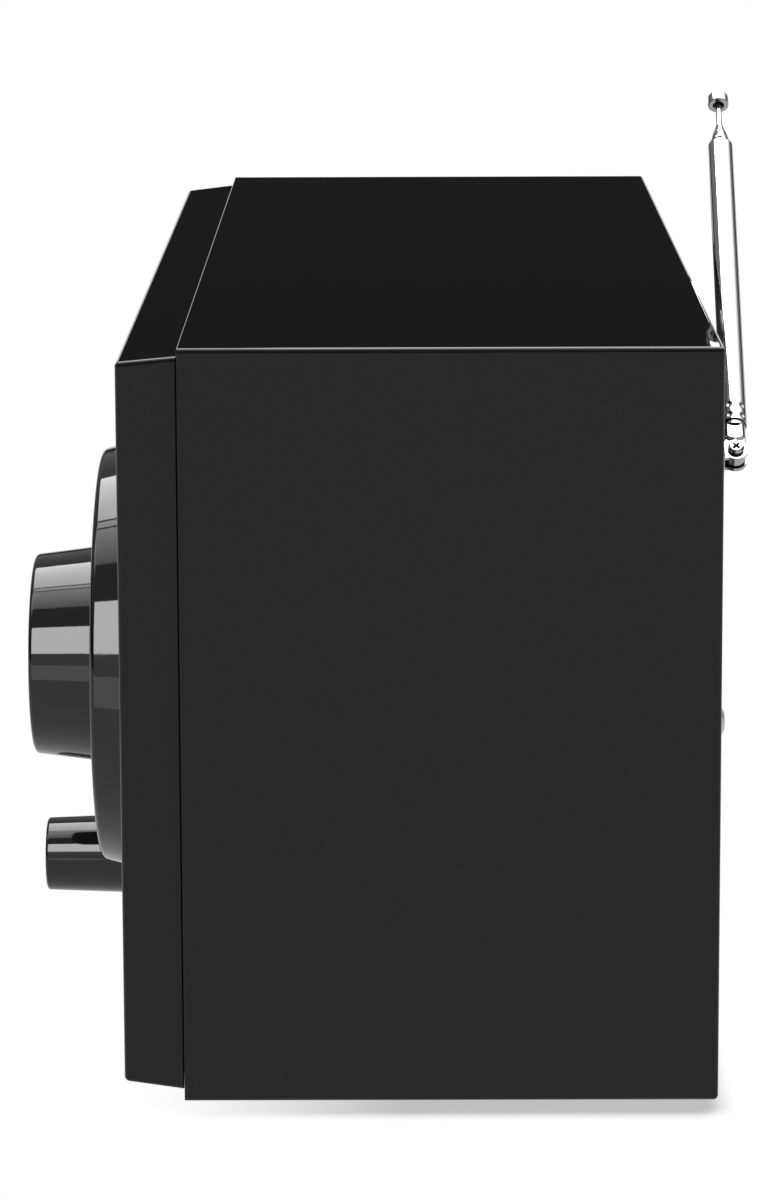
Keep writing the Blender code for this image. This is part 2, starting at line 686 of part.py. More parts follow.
def make_speaker():
    place = (SPEAKER_X, PANEL_FACE_Y, SPEAKER_Z)
    trim = [(37.8, 3), *[(p[0] / MM, p[1] / MM) for p in arc(40 * MM, 2 * MM, 1 * MM, 90, 0)]]
    trim += [(41.5, 0.3), (36.4, 0.3), (36.4, 1), (37.8, 1)]
    turned("grille_ring", "gloss_plastic", in_mm(trim), place, TO_FRONT, steps=48, ring=True)
    sheet = [(0, 3.2), (18, 2.95), (37.4, 2.1), (37.4, 1.3), (18, 2.15), (0, 2.4)]
    grille = turned("speaker_grille", "perforated_metal", in_mm(sheet), place, TO_FRONT, steps=32)
    bm = bmesh.new()
    for ring in range(GRILLE_HOLE_RINGS + 1):
        for hole in range(max(1, 6 * ring)):
            angle = 2 * math.pi * hole / max(1, 6 * ring)
            x, y = ring * GRILLE_HOLE_PITCH * math.cos(angle), ring * GRILLE_HOLE_PITCH * math.sin(angle)
            add_cylinder(bm, GRILLE_HOLE_RADIUS, (x, y, 0), (x, y, 6 * MM), 6)
    carve(grille, solid("grille_holes", None, bm, place, TO_FRONT))

    place = (SPEAKER_X, PLUG_DEPTH + GAP, SPEAKER_Z)
    basket = [(34, 0), (34, 1), (21, 16.8), (9.4, 16.8)]
    basket += [(9.4, 18), (21.6, 18), (35.2, 1.2), (38.5, 1.2), (38.5, 0)]
    frame = turned("speaker_frame", "zinc_steel", in_mm(basket), place, TO_REAR, steps=32, ring=True)
    windows = []
    for index in range(4):
        bm = bmesh.new()
        add_box(bm, (-8 * MM, 15 * MM, 4.5 * MM), (8 * MM, 45 * MM, 15 * MM))
        turn = Matrix.Rotation(math.radians(45 + 90 * index), 4, "Z")
        bmesh.ops.transform(bm, matrix=turn, verts=bm.verts)
        windows.append(solid(f"basket_window_{index}", None, bm, place, TO_REAR))
    carve(frame, *windows)
    surround = [(33.4, 0.9), (33.4, 0.3), (31.8, 0.3), (29.6, -1.3), (27.4, 0.3), (26.6, 0.3)]
    surround += [(26.6, 0.9), (27.7, 0.9), (29.6, -0.6), (31.5, 0.9)]
    turned("speaker_surround", "foam_rubber", in_mm(surround), place, TO_REAR, steps=32, ring=True)
    cone = [(26.2, 1.5), (26.2, 0.8), (25.4, 0.8), (8.1, 13), (8.1, 14), (9, 14)]
    turned("speaker_cone", "speaker_paper", in_mm(cone), place, TO_REAR, steps=32, ring=True)
    cap = [(0, 9.3), (4.5, 9.8), (8.4, 11.2), (9.6, 10.6), (5, 9), (0, 8.5)]
    turned("dust_cap", "speaker_paper", in_mm(cap), place, TO_REAR)
    magnet = [(19, 25.6), (19, 18.3), (10.6, 18.3), (10.6, 25.6)]
    turned("speaker_magnet", "ferrite", in_mm(magnet), place, TO_REAR, ring=True)
    pole = [(0, 28.1), (18, 28.1), (18, 25.9), (7, 25.9), (7, 14.6), (0, 14.6)]
    turned("speaker_back_plate", "zinc_steel", in_mm(pole), place, TO_REAR)


def make_electronics():
    floor = FOOT_HEIGHT + WALL
    board_z = floor + 6 * MM
    low, high = Vector((-15, 45, 0)) * MM, Vector((95, 90, 0)) * MM
    board = box("circuit_board", "board_green", (low.x, low.y, board_z), (high.x, high.y, board_z + 1.6 * MM))
    inset = 5 * MM
    corners = [
        (x, y) for x in (low.x + inset, high.x - inset) for y in (low.y + inset, high.y - inset)
    ]
    legs = rods(
        "board_legs",
        [(2.5 * MM, (x, y, floor + GAP), (x, y, board_z + 0.8 * MM)) for x, y in corners],
    )
    fuse(board, legs)
    top = board_z + 1.6 * MM + GAP
    can = [(0, 18), (5.2, 18), (6, 17.2), (6, 0), (0, 0)]
    turned("electrolytic_capacitor", "capacitor_sleeve", in_mm(can), (10 * MM, 60 * MM, top))

    rod_y, rod_z, ceiling = 55 * MM, 118 * MM, FOOT_HEIGHT + CABINET_HEIGHT - WALL - GAP
    bm = bmesh.new()
    add_cylinder(bm, 5 * MM, (-60 * MM, 0, 0), (60 * MM, 0, 0))
    solid("ferrite_rod", "ferrite", bm, (0, rod_y, rod_z))
    coil = [(7, 40), (7, 22), (5.3, 22), (5.3, 40)]
    turned("ferrite_coil", "copper_wire", in_mm(coil), (0, rod_y, rod_z), (0, math.pi / 2, 0), ring=True)
    holder = box(
        "ferrite_holder",
        "black_plastic",
        (-50 * MM, rod_y - 5 * MM, ceiling - 1.6 * MM),
        (50 * MM, rod_y + 5 * MM, ceiling),
    )
    arms = [
        ((x - 2 * MM, rod_y - 7 * MM, rod_z - 7 * MM), (x + 2 * MM, rod_y + 7 * MM, ceiling - 0.8 * MM))
        for x in (-45 * MM, 45 * MM)
    ]
    bore = rods("holder_bore", [(5.3 * MM, (-70 * MM, rod_y, rod_z), (70 * MM, rod_y, rod_z))])
    carve(fuse(holder, boxes("holder_arms", arms)), bore)
    make_lead((SPEAKER_X + 24 * MM, 34 * MM, 60 * MM), (0, 52 * MM, board_z + 3.2 * MM))


def make_lead(start, end):
    """The loudspeaker's lead: one slack curve down to the circuit board."""
    start, end = Vector(start), Vector(end)
    leave, arrive = start + Vector((0, 20, 0)) * MM, end + Vector((0, 0, 26)) * MM
    count = 16
    curve = bpy.data.curves.new("speaker_lead", "CURVE")
    curve.dimensions = "3D"
    curve.bevel_depth = 0.9 * MM
    curve.bevel_resolution = 2
    curve.use_fill_caps = True
    spline = curve.splines.new("POLY")
    spline.points.add(count)
    for index, point in enumerate(spline.points):
        t = index / count
        s = 1 - t
        place = s**3 * start + 3 * s * s * t * leave + 3 * s * t * t * arrive + t**3 * end
        point.co = (*place, 1)
    add_object("speaker_lead", curve, "wire_red")


def make_battery_box():
    mouth_y = REAR_INNER_Y - GAP
    half_width, low, high = 32.2 * MM, DOOR_BOTTOM_Z + 0.6 * MM, DOOR_BOTTOM_Z + DOOR_HEIGHT - 0.6 * MM
    tray = box(
        "battery_box",
        "black_plastic",
        (BATTERY_X - half_width, mouth_y - TRAY_DEPTH, low),
        (BATTERY_X + half_width, mouth_y, high),
    )
    room = boxes(
        "battery_room",
        [
            (
                (BATTERY_X - half_width + TRAY_WALL, mouth_y - TRAY_DEPTH + TRAY_WALL, low + TRAY_WALL),
                (BATTERY_X + half_width - TRAY_WALL, mouth_y + 5 * MM, high - TRAY_WALL),
            )
        ],
    )
    carve(tray, room)
    cell_y = mouth_y - TRAY_DEPTH / 2 + 0.6 * MM
    middle = (low + high) / 2
    half = CELL_LENGTH / 2
    cell = [
        (0, half),
        (2.6 * MM, half),
        (2.6 * MM, half - 1.2 * MM),
        (CELL_RADIUS - 0.5 * MM, half - 1.2 * MM),
        (CELL_RADIUS, half - 1.8 * MM),
        (CELL_RADIUS, -half),
        (0, -half),
    ]
    for index in range(4):
        x = BATTERY_X + (index - 1.5) * CELL_PITCH
        turn = (0, math.pi * (index % 2), 0)
        turned(f"battery_{index + 1}", "cell_label", cell, (x, cell_y, middle), turn, steps=20)
    hinge = make_empty("door_hinge", (BATTERY_X, REAR_FACE_Y, DOOR_BOTTOM_Z), parent=RADIO)
    bm = bmesh.new()
    add_box(bm, (-DOOR_WIDTH / 2, -DOOR_THICKNESS, 0), (DOOR_WIDTH / 2, 0, DOOR_HEIGHT))
    door = solid("battery_door", "black_plastic", bm, parent=hinge)
    bm = bmesh.new()
    grip = ((-9 * MM, -1.2 * MM, DOOR_HEIGHT - 7 * MM), (9 * MM, 5 * MM, DOOR_HEIGHT - 2.5 * MM))
    add_box(bm, *grip)
    carve(door, solid("door_grip", None, bm, parent=hinge))


def make_rear_fittings():
    inner = REAR_INNER_Y - GAP
    box(
        "band_switch_body",
        "zinc_steel",
        (SWITCH_X - 10 * MM, inner - 7 * MM, SWITCH_Z - 4.5 * MM),
        (SWITCH_X + 10 * MM, inner, SWITCH_Z + 4.5 * MM),
    )
    rest = make_empty("band_switch_rest", (SWITCH_X, REAR_FACE_Y, SWITCH_Z), parent=RADIO)
    bm = bmesh.new()
    nub = (3.4 * MM, REAR_THICKNESS, 1.9 * MM)
    add_box(bm, (-nub[0], -nub[1] + GAP, -nub[2]), (nub[0], 0.5 * MM, nub[2]))
    bevel(solid("band_switch_slider", "black_plastic", bm, parent=rest), 0.3 * MM, 1)
    socket = [(0, -1.5), (0.9, -1.5), (0.9, -10), (2.8, -10), (2.8, 0), (6, 0), (6, -12), (0, -12)]
    turned("dc_jack", "black_plastic", in_mm(socket), (DC_JACK_X, REAR_FACE_Y, DC_JACK_Z), TO_REAR)
    socket = [(0, -13), (1.8, -13), (1.8, 0), (4, 0), (4, -14.5), (0, -14.5)]
    turned("headphone_jack", "black_plastic", in_mm(socket), (PHONES_X, REAR_FACE_Y, PHONES_Z), TO_REAR)


def make_aerial():
    post_end = AERIAL_Y - FORK_BASE - GAP - REAR_FACE_Y
    mount = [(0, post_end), (4.2 * MM, post_end), (4.2 * MM, GAP)]
    mount += in_mm([(2.3, 0.3), (2.3, -9), (0, -9)])
    turned("aerial_mount", "chrome", mount, (AERIAL_X, REAR_FACE_Y, AERIAL_Z), TO_REAR)
    swivel = make_empty("aerial_swivel", (AERIAL_X, AERIAL_Y, AERIAL_Z), (0, AERIAL_SWIVEL, 0), RADIO)
    elbow = make_empty("aerial_elbow", (0, 0, 0), (AERIAL_TILT, 0, 0), swivel)

    ear_outer = FORK_GAP + FORK_EAR
    base_y = -FORK_BASE
    base_thickness = 0.6 * MM
    bm = bmesh.new()
    add_cylinder(bm, EAR_RADIUS, (-ear_outer, 0, 0), (ear_outer, 0, 0))
    fork = solid("aerial_fork", "chrome", bm, parent=swivel)
    bm = bmesh.new()
    add_cylinder(bm, 3.9 * MM, (0, base_y, 0), (0, base_y + base_thickness, 0))
    base = solid("fork_base", None, bm, parent=swivel)
    bm = bmesh.new()
    web_x, web_z = ear_outer - 0.1 * MM, EAR_RADIUS - 0.3 * MM
    add_box(bm, (-web_x, base_y + 0.3 * MM, -web_z), (web_x, 0, web_z))
    web = solid("fork_web", None, bm, parent=swivel)
    bm = bmesh.new()
    add_box(bm, (-FORK_GAP, base_y + base_thickness, -9 * MM), (FORK_GAP, 9 * MM, 9 * MM))
    throat = solid("fork_throat", None, bm, parent=swivel)
    cross_hole = rods("fork_bore", [(CROSS_BORE, (-9 * MM, 0, 0), (9 * MM, 0, 0))], swivel)
    carve(fuse(fork, web, base), throat, cross_hole)
    screw = [(0, 3.2), (1, 3.1), (1.6, 2.7), (1.6, 2.2), (0.85, 2.2), (0.85, -2.4), (0, -2.4)]
    turned("aerial_screw", "chrome", in_mm(screw), turn=(0, math.pi / 2, 0), parent=swivel, steps=20)

    plug = [(0, 13.2), (2.15, 13.2), (2.15, 3.9), (1, 2.8), (0, 2.8)]
    knuckle = turned("aerial_knuckle", "chrome", in_mm(plug), parent=elbow, steps=20)
    bm = bmesh.new()
    tongue = 0.9 * MM
    add_cylinder(bm, 2.1 * MM, (-tongue, 0, 0), (tongue, 0, 0))
    eye = solid("knuckle_eye", None, bm, parent=elbow)
    bm = bmesh.new()
    add_box(bm, (-tongue, -1.9 * MM, 0), (tongue, 1.9 * MM, 3.9 * MM))
    neck = solid("knuckle_neck", None, bm, parent=elbow)
    eye_hole = rods("knuckle_bore", [(CROSS_BORE, (-9 * MM, 0, 0), (9 * MM, 0, 0))], elbow)
    carve(fuse(knuckle, neck, eye), eye_hole)

    rise = 2.4 * MM
    for index, (outer, inner) in enumerate(TUBE_RADII):
        bottom = TUBE_BOTTOM if index == 0 else PLUG_TOP + (0.4 + 0.8 * index) * MM
        top = TUBE_TOP + index * rise
        lip = (inner - 0.12) * MM
        tube = [
            (lip, top + 1.2 * MM),
            (lip + 0.06 * MM, top + 1.2 * MM),
            (outer * MM, top),
            (outer * MM, bottom),
            (inner * MM, bottom),
            (inner * MM, top - 1.2 * MM),
            (lip, top - 0.6 * MM),
        ]
        turned(f"aerial_tube_{index + 1}", "chrome", tube, parent=elbow, steps=20, ring=True)
    bore, depth = ROD_RADIUS + GAP, 1.5 * MM
    rod_top, rod_bottom = TIP_BOTTOM + depth - GAP, PLUG_TOP + 2.8 * MM
    rod = [(0, rod_top), (ROD_RADIUS, rod_top), (ROD_RADIUS, rod_bottom), (0, rod_bottom)]
    turned("aerial_rod", "chrome", rod, parent=elbow, steps=12)
    tip = [
        (0, TIP_BOTTOM + TIP_HEIGHT),
        (TIP_RADIUS - 0.3 * MM, TIP_BOTTOM + TIP_HEIGHT),
        (TIP_RADIUS, TIP_BOTTOM + TIP_HEIGHT - 0.3 * MM),
        (TIP_RADIUS, TIP_BOTTOM),
        (bore, TIP_BOTTOM),
        (bore, TIP_BOTTOM + depth),
        (0, TIP_BOTTOM + depth),
    ]
    turned("aerial_tip", "chrome", tip, parent=elbow, steps=24)


clear_scene()
PARTS = make_collection("table_radio")
TOOLS = make_collection("cutters", hidden=True)
RADIO = make_empty("radio", CENTRING)
make_cabinet()
make_front_panel()
make_rear_panel()
make_dial()
make_tuning_drive()
make_tuning_capacitor()
make_volume_control()
make_speaker()
make_electronics()
make_battery_box()
make_rear_fittings()
make_aerial()
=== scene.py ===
"""The looks of a gloss black box radio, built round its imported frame. Metres, +Z up, front towards -Y."""

import json
import math

import bmesh
import bpy
from mathutils import Matrix, Vector


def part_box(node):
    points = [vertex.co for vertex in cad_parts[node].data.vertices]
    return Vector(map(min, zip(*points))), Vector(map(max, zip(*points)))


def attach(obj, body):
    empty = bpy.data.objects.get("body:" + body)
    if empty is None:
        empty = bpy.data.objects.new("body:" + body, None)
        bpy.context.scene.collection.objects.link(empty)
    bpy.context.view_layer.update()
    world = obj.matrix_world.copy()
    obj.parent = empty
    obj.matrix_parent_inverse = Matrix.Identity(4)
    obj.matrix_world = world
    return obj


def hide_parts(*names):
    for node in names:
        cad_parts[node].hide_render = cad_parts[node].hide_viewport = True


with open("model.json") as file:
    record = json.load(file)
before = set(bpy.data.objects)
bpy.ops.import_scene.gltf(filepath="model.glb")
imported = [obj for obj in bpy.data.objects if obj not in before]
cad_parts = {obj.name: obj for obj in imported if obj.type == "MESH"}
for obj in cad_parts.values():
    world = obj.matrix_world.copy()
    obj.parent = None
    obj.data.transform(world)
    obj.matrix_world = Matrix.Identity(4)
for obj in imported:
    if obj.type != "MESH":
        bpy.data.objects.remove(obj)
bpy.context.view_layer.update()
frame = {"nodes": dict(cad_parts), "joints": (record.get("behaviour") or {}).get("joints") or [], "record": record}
MM = 0.001
GAP = 0.3 * MM

SHELL_LOW, SHELL_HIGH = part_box("cabinet_shell")
PANEL_LOW, PANEL_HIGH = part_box("front_panel")
PANEL_FACE_Y = PANEL_LOW.y
JOINTS = {joint["name"]: joint for joint in frame["joints"]}

TO_FRONT = Matrix.Rotation(math.pi / 2, 4, "X")
TO_REAR = Matrix.Rotation(-math.pi / 2, 4, "X")


def at(x, y, z, turn=Matrix.Identity(4)):
    """A matrix that turns a piece and then sets it at a point."""
    return Matrix.Translation((x, y, z)) @ turn


def middle(node):
    low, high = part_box(node)
    return (low + high) / 2


def local_box(node, place):
    """A node's lowest and highest corners in the axes of a matrix."""
    inverse = place.inverted()
    points = [inverse @ vertex.co for vertex in frame["nodes"][node].data.vertices]
    low = Vector([min(point[axis] for point in points) for axis in range(3)])
    high = Vector([max(point[axis] for point in points) for axis in range(3)])
    return low, high


# ---------------------------------------------------------------- materials


def add_node(tree, kind, inputs, **settings):
    """A shader node. Each of its inputs is a value or the output of another node."""
    node = tree.nodes.new(f"ShaderNode{kind}")
    for name, value in settings.items():
        setattr(node, name, value)
    for socket, value in inputs.items():
        if isinstance(value, bpy.types.NodeSocket):
            tree.links.new(value, node.inputs[socket])
        else:
            node.inputs[socket].default_value = value
    return node


def map_range(tree, output, from_low, from_high, to_low, to_high):
    """A value taken in a straight line from one range to another, and held at both ends."""
    inputs = {"Value": output, "From Min": from_low, "From Max": from_high}
    inputs |= {"To Min": to_low, "To Max": to_high}
    return add_node(tree, "MapRange", inputs).outputs["Result"]


def mix(tree, factor, first, second):
    """A value between two others."""
    return add_node(tree, "Mix", {"Factor": factor, "A": first, "B": second}).outputs["Result"]


def coordinate(tree, space, axis):
    """One coordinate of a point on a surface, or of a direction into the world."""
    place = tree.nodes.new("ShaderNodeTexCoord")
    return add_node(tree, "SeparateXYZ", {"Vector": place.outputs[space]}).outputs[axis]


class Shading:
    """A Principled material with short ways to add patterns that vary over the surface."""

    def __init__(self, name, colour, roughness, metallic=0.0, ior=1.5):
        self.material = bpy.data.materials.new(name)
        self.material.use_nodes = True
        self.tree = self.material.node_tree
        self.shader = self.tree.nodes["Principled BSDF"]
        self.set("Base Color", (*colour, 1))
        self.set("Roughness", roughness)
        self.set("Metallic", metallic)
        self.set("IOR", ior)
        self.where = self.tree.nodes.new("ShaderNodeTexCoord").outputs["Object"]

    def set(self, socket, value):
        self.shader.inputs[socket].default_value = value

    def link(self, output, socket):
        self.tree.links.new(output, self.shader.inputs[socket])

    def stretched(self, scale):
        """The surface's place, scaled by axis, so that a pattern runs along one direction."""
        mapping = add_node(self.tree, "Mapping", {"Scale": scale, "Vector": self.where})
        return mapping.outputs["Vector"]

    def noise(self, scale, detail=3.0, vector=None):
        inputs = {"Scale": scale, "Detail": detail, "Vector": vector or self.where}
        return add_node(self.tree, "TexNoise", inputs).outputs["Fac"]

    def specks(self, scale, size):
        """1 at scattered small dots and 0 elsewhere."""
        node = add_node(self.tree, "TexVoronoi", {"Scale": scale, "Vector": self.where})
        return map_range(self.tree, node.outputs["Distance"], 0.0, size, 1.0, 0.0)

    def wave(self, scale, direction):
        inputs = {"Scale": scale, "Vector": self.where}
        return add_node(self.tree, "TexWave", inputs, bands_direction=direction).outputs["Fac"]

    def vary_roughness(self, output, low, high):
        self.link(map_range(self.tree, output, 0.3, 0.7, low, high), "Roughness")

    def tint(self, factor, first, second):
        """The base colour goes from one tone to another with a factor."""
        inputs = {"Factor": factor, "A": (*first, 1), "B": (*second, 1)}
        self.link(add_node(self.tree, "Mix", inputs, data_type="RGBA").outputs["Result"], "Base Color")

    def bump(self, height, strength, depth):
        """A relief whose depth is in millimetres."""
        inputs = {"Strength": strength, "Distance": depth * MM, "Height": height}
        self.link(add_node(self.tree, "Bump", inputs).outputs["Normal"], "Normal")


def lacquer():
    """Deep black piano lacquer: clean reflections, a trace of orange peel, a little settled dust."""
    look = Shading("lacquer", (0.004, 0.004, 0.0045), 0.01, ior=1.36)
    dust = look.specks(230, 0.035)
    look.tint(dust, (0.004, 0.004, 0.0045), (0.05, 0.05, 0.05))
    look.vary_roughness(look.noise(35), 0.005, 0.02)
    look.bump(look.noise(220, 1.0), 0.01, 0.2)
    return look.material


def polished_plastic():
    look = Shading("polished_plastic", (0.006, 0.006, 0.0065), 0.04, ior=1.47)
    look.vary_roughness(look.noise(120), 0.025, 0.06)
    look.bump(look.noise(500, 1.0), 0.03, 0.1)
    return look.material


def moulded_plastic(name="moulded_plastic", colour=(0.016, 0.016, 0.017), roughness=0.46):
    """A spark-eroded moulding: even fine grain, slightly uneven gloss."""
    look = Shading(name, colour, roughness)
    lighter = tuple(min(1.0, 1.5 * part + 0.002) for part in colour)
    look.tint(look.noise(60), colour, lighter)
    look.vary_roughness(look.noise(300), roughness - 0.08, roughness + 0.08)
    look.bump(look.noise(2600, 2.0), 0.35, 0.08)
    return look.material


def chrome():
    look = Shading("chrome", (0.39, 0.39, 0.395), 0.1, metallic=1.0)
    look.vary_roughness(look.noise(90), 0.08, 0.12)
    look.tint(look.noise(160), (0.37, 0.37, 0.375), (0.41, 0.41, 0.415))
    return look.material


def brushed(name, colour, roughness, along):
    """Metal with fine lines along one direction. The pattern is squeezed across that direction."""
    look = Shading(name, colour, roughness, metallic=1.0)
    lines = look.noise(40, 4.0, look.stretched(along))
    darker = tuple(0.8 * part for part in colour)
    look.tint(lines, darker, colour)
    look.vary_roughness(lines, roughness - 0.08, roughness + 0.1)
    look.bump(lines, 0.12, 0.05)
    return look.material


def lens_plastic():
    look = Shading("lens_plastic", (1, 1, 1), 0.02, ior=1.49)
    look.set("Transmission Weight", 1.0)
    look.vary_roughness(look.noise(30), 0.0, 0.02)
    return look.material


def dial_card():
    look = Shading("dial_card", (0.012, 0.012, 0.013), 0.5)
    look.tint(look.noise(45), (0.01, 0.01, 0.011), (0.017, 0.017, 0.018))
    look.bump(look.noise(1800), 0.12, 0.05)
    return look.material


def printed_ink(name, colour):
    look = Shading(name, colour, 0.5)
    darker = tuple(0.85 * part for part in colour)
    look.tint(look.noise(700), darker, colour)
    return look.material


def paper_cone():
    look = Shading("paper_cone", (0.022, 0.021, 0.02), 0.85)
    look.tint(look.noise(900, 6.0), (0.014, 0.013, 0.013), (0.04, 0.038, 0.036))
    look.bump(look.noise(1200, 6.0), 0.5, 0.15)
    return look.material


def rubber(name="soft_rubber"):
    look = Shading(name, (0.013, 0.013, 0.013), 0.8)
    look.tint(look.noise(250, 4.0), (0.01, 0.01, 0.01), (0.026, 0.026, 0.026))
    look.bump(look.noise(1500, 2.0), 0.3, 0.08)
    return look.material


def ferrite():
    look = Shading("sintered_ferrite", (0.05, 0.048, 0.046), 0.65)
    look.tint(look.noise(400, 5.0), (0.035, 0.033, 0.032), (0.085, 0.08, 0.076))
    look.bump(look.noise(900, 4.0), 0.4, 0.1)
    return look.material


def copper_winding():
    look = Shading("copper_winding", (0.72, 0.3, 0.13), 0.35, metallic=1.0)
    turns = look.wave(900, "X")
    look.tint(turns, (0.3, 0.1, 0.04), (0.75, 0.33, 0.15))
    look.bump(turns, 0.8, 0.15)
    return look.material


def circuit_board():
    look = Shading("solder_mask", (0.01, 0.11, 0.045), 0.4)
    tracks = map_range(look.tree, look.wave(120, "DIAGONAL"), 0.55, 0.6, 0.0, 1.0)
    look.tint(tracks, (0.006, 0.085, 0.035), (0.016, 0.16, 0.07))
    look.bump(tracks, 0.3, 0.05)
    return look.material


def capacitor_sleeve():
    look = Shading("shrink_sleeve", (0.03, 0.045, 0.15), 0.32)
    look.tint(look.noise(180), (0.02, 0.035, 0.12), (0.045, 0.06, 0.19))
    return look.material


def cell_sleeve():
    """A cell's printed sleeve: a copper-coloured end and a dark body, split by height."""
    look = Shading("cell_sleeve", (0.02, 0.02, 0.022), 0.28, metallic=0.4)
    low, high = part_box("battery_1")
    edge = low.z + 0.62 * (high.z - low.z)
    band = map_range(look.tree, coordinate(look.tree, "Object", "Z"), edge, edge + 0.2 * MM, 0.0, 1.0)
    look.tint(band, (0.018, 0.018, 0.02), (0.62, 0.27, 0.09))
    look.vary_roughness(look.noise(200), 0.22, 0.34)
    return look.material


LOOKS = {
    "black_lacquer": lacquer(),
    "black_plastic": moulded_plastic(),
    "gloss_plastic": polished_plastic(),
    "clear_plastic": lens_plastic(),
    "dial_card": dial_card(),
    "pointer_red": moulded_plastic("pointer_red", (0.55, 0.02, 0.012), 0.35),
    "brass": brushed("turned_brass", (0.78, 0.56, 0.24), 0.28, (1, 12, 1)),
    "zinc_steel": brushed("zinc_plate", (0.62, 0.63, 0.64), 0.34, (1, 1, 9)),
    "chrome": chrome(),
    "aluminium": brushed("sheet_aluminium", (0.8, 0.8, 0.81), 0.36, (1, 1, 8)),
    "perforated_metal": moulded_plastic("painted_sheet", (0.012, 0.012, 0.013), 0.36),
    "speaker_paper": paper_cone(),
    "foam_rubber": rubber("surround_rubber"),
    "ferrite": ferrite(),
    "copper_wire": copper_winding(),
    "board_green": circuit_board(),
    "capacitor_sleeve": capacitor_sleeve(),
    "cell_label": cell_sleeve(),
    "wire_red": moulded_plastic("lead_sheath", (0.4, 0.015, 0.01), 0.4),
    "foot_rubber": rubber(),
}
IVORY = printed_ink("ivory_ink", (0.72, 0.67, 0.52))
# Dull dark brown for the inside of screw recesses: painted shade.
RECESS_SHADE = moulded_plastic("screw_recess", (0.06, 0.035, 0.025), 0.8)
AMBER = printed_ink("amber_ink", (0.72, 0.3, 0.05))


# ---------------------------------------------------------------- modelling helpers


def add_object(name, data):
    """A new object in the scene."""
    obj = bpy.data.objects.new(name, data)
    bpy.context.scene.collection.objects.link(obj)
    return obj


def new_object(name, bm, place=Matrix.Identity(4)):
    bmesh.ops.recalc_face_normals(bm, faces=bm.faces[:])
    bm.transform(place)
    mesh = bpy.data.meshes.new(name)
    bm.to_mesh(mesh)
    bm.free()
    return add_object(name, mesh)


def rounded(corners, closed, steps=6):
    """Profile points from (radius, height, fillet) corners in millimetres, each fillet an arc."""
    count = len(corners)
    points = []
    for index, (radius, height, fillet) in enumerate(corners):
        corner = Vector((radius, height))
        is_end = not closed and index in (0, count - 1)
        if fillet == 0 or is_end:
            points.append(corner * MM)
            continue
        before = (Vector(corners[index - 1][:2]) - corner).normalized()
        after = (Vector(corners[(index + 1) % count][:2]) - corner).normalized()
        half = before.angle(after) / 2
        centre = corner + (before + after).normalized() * fillet / math.sin(half)
        reach = fillet / math.tan(half)
        start = corner + before * reach - centre
        end = corner + after * reach - centre
        first = math.atan2(start.y, start.x)
        sweep = (math.atan2(end.y, end.x) - first + math.pi) % (2 * math.pi) - math.pi
        for step in range(steps + 1):
            angle = first + sweep * step / steps
            points.append((centre + fillet * Vector((math.cos(angle), math.sin(angle)))) * MM)
    return points


def lathe(name, corners, place, steps, closed=False, fillet_steps=6):
    """A rounded profile turned about local Z and laid at a matrix. A closed one makes a ring."""
    bm = bmesh.new()
    rings = []
    for radius, height in rounded(corners, closed, fillet_steps):
        if radius < 1e-7:
            rings.append([bm.verts.new((0, 0, height))])
            continue
        angles = [2 * math.pi * step / steps for step in range(steps)]
        rings.append([bm.verts.new((radius * math.cos(a), radius * math.sin(a), height)) for a in angles])
    followers = rings[1:] + (rings[:1] if closed else [])
    for ring, follower in zip(rings, followers):
        for step in range(steps):
            after = (step + 1) % steps
            corners = [
                ring[step % len(ring)],
                ring[after % len(ring)],
                follower[after % len(follower)],
                follower[step % len(follower)],
            ]
            bm.faces.new(dict.fromkeys(corners))
    return new_object(name, bm, place)


def slab(name, low, high, radius=0.0, segments=3, place=Matrix.Identity(4)):
    """A box between two corners, with its edges rounded where a radius is given."""
    low, high = Vector(low), Vector(high)
    bm = bmesh.new()
    stretch = Matrix.Diagonal((*(high - low), 1))
    bmesh.ops.create_cube(bm, size=1, matrix=Matrix.Translation((low + high) / 2) @ stretch)
    if radius:
        bmesh.ops.bevel(
            bm, geom=bm.edges[:], offset=radius, segments=segments, profile=0.5, affect="EDGES"
        )
    return new_object(name, bm, place)


def upright_slab(name, x, z, half_width, half_height, front, back):
    """A box about a place on a panel, from one depth to another."""
    return slab(name, (x - half_width, front, z - half_height), (x + half_width, back, z + half_height))


def rod(name, radius, start, end, steps, place=Matrix.Identity(4)):
    """A plain cylinder, used as a cutter or to be joined."""
    start, end = Vector(start), Vector(end)
    turn = (end - start).to_track_quat("Z", "Y").to_matrix().to_4x4()
    lay = Matrix.Translation((start + end) / 2) @ turn
    bm = bmesh.new()
    bmesh.ops.create_cone(
        bm,
        cap_ends=True,
        segments=steps,
        radius1=radius,
        radius2=radius,
        depth=(end - start).length,
        matrix=lay,
    )
    return new_object(name, bm, place)


def drill(node, radius, front, back, steps):
    """A round cutter through a panel at a node's middle."""
    spot = middle(node)
    return rod(f"hole_{node}", radius * MM, (spot.x, front, spot.z), (spot.x, back, spot.z), steps)


def apply(obj):
    """Turns an object's modifiers into its mesh."""
    graph = bpy.context.evaluated_depsgraph_get()
    mesh = bpy.data.meshes.new_from_object(obj.evaluated_get(graph))
    obj.modifiers.clear()
    obj.data = mesh
    return obj


def combine(obj, operation, tools):
    """Cuts or joins one object with others, which are used up."""
    for tool in tools:
        modifier = obj.modifiers.new(tool.name, "BOOLEAN")
        modifier.operation = operation
        modifier.solver = "EXACT"
        modifier.object = tool
    apply(obj)
    for tool in tools:
        bpy.data.objects.remove(tool, do_unlink=True)


def cut(obj, *tools):
    combine(obj, "DIFFERENCE", tools)


def fuse(obj, *tools):
    combine(obj, "UNION", tools)


SHARP_EDGE = math.radians(50)
SHARP_SHADING = math.radians(32)


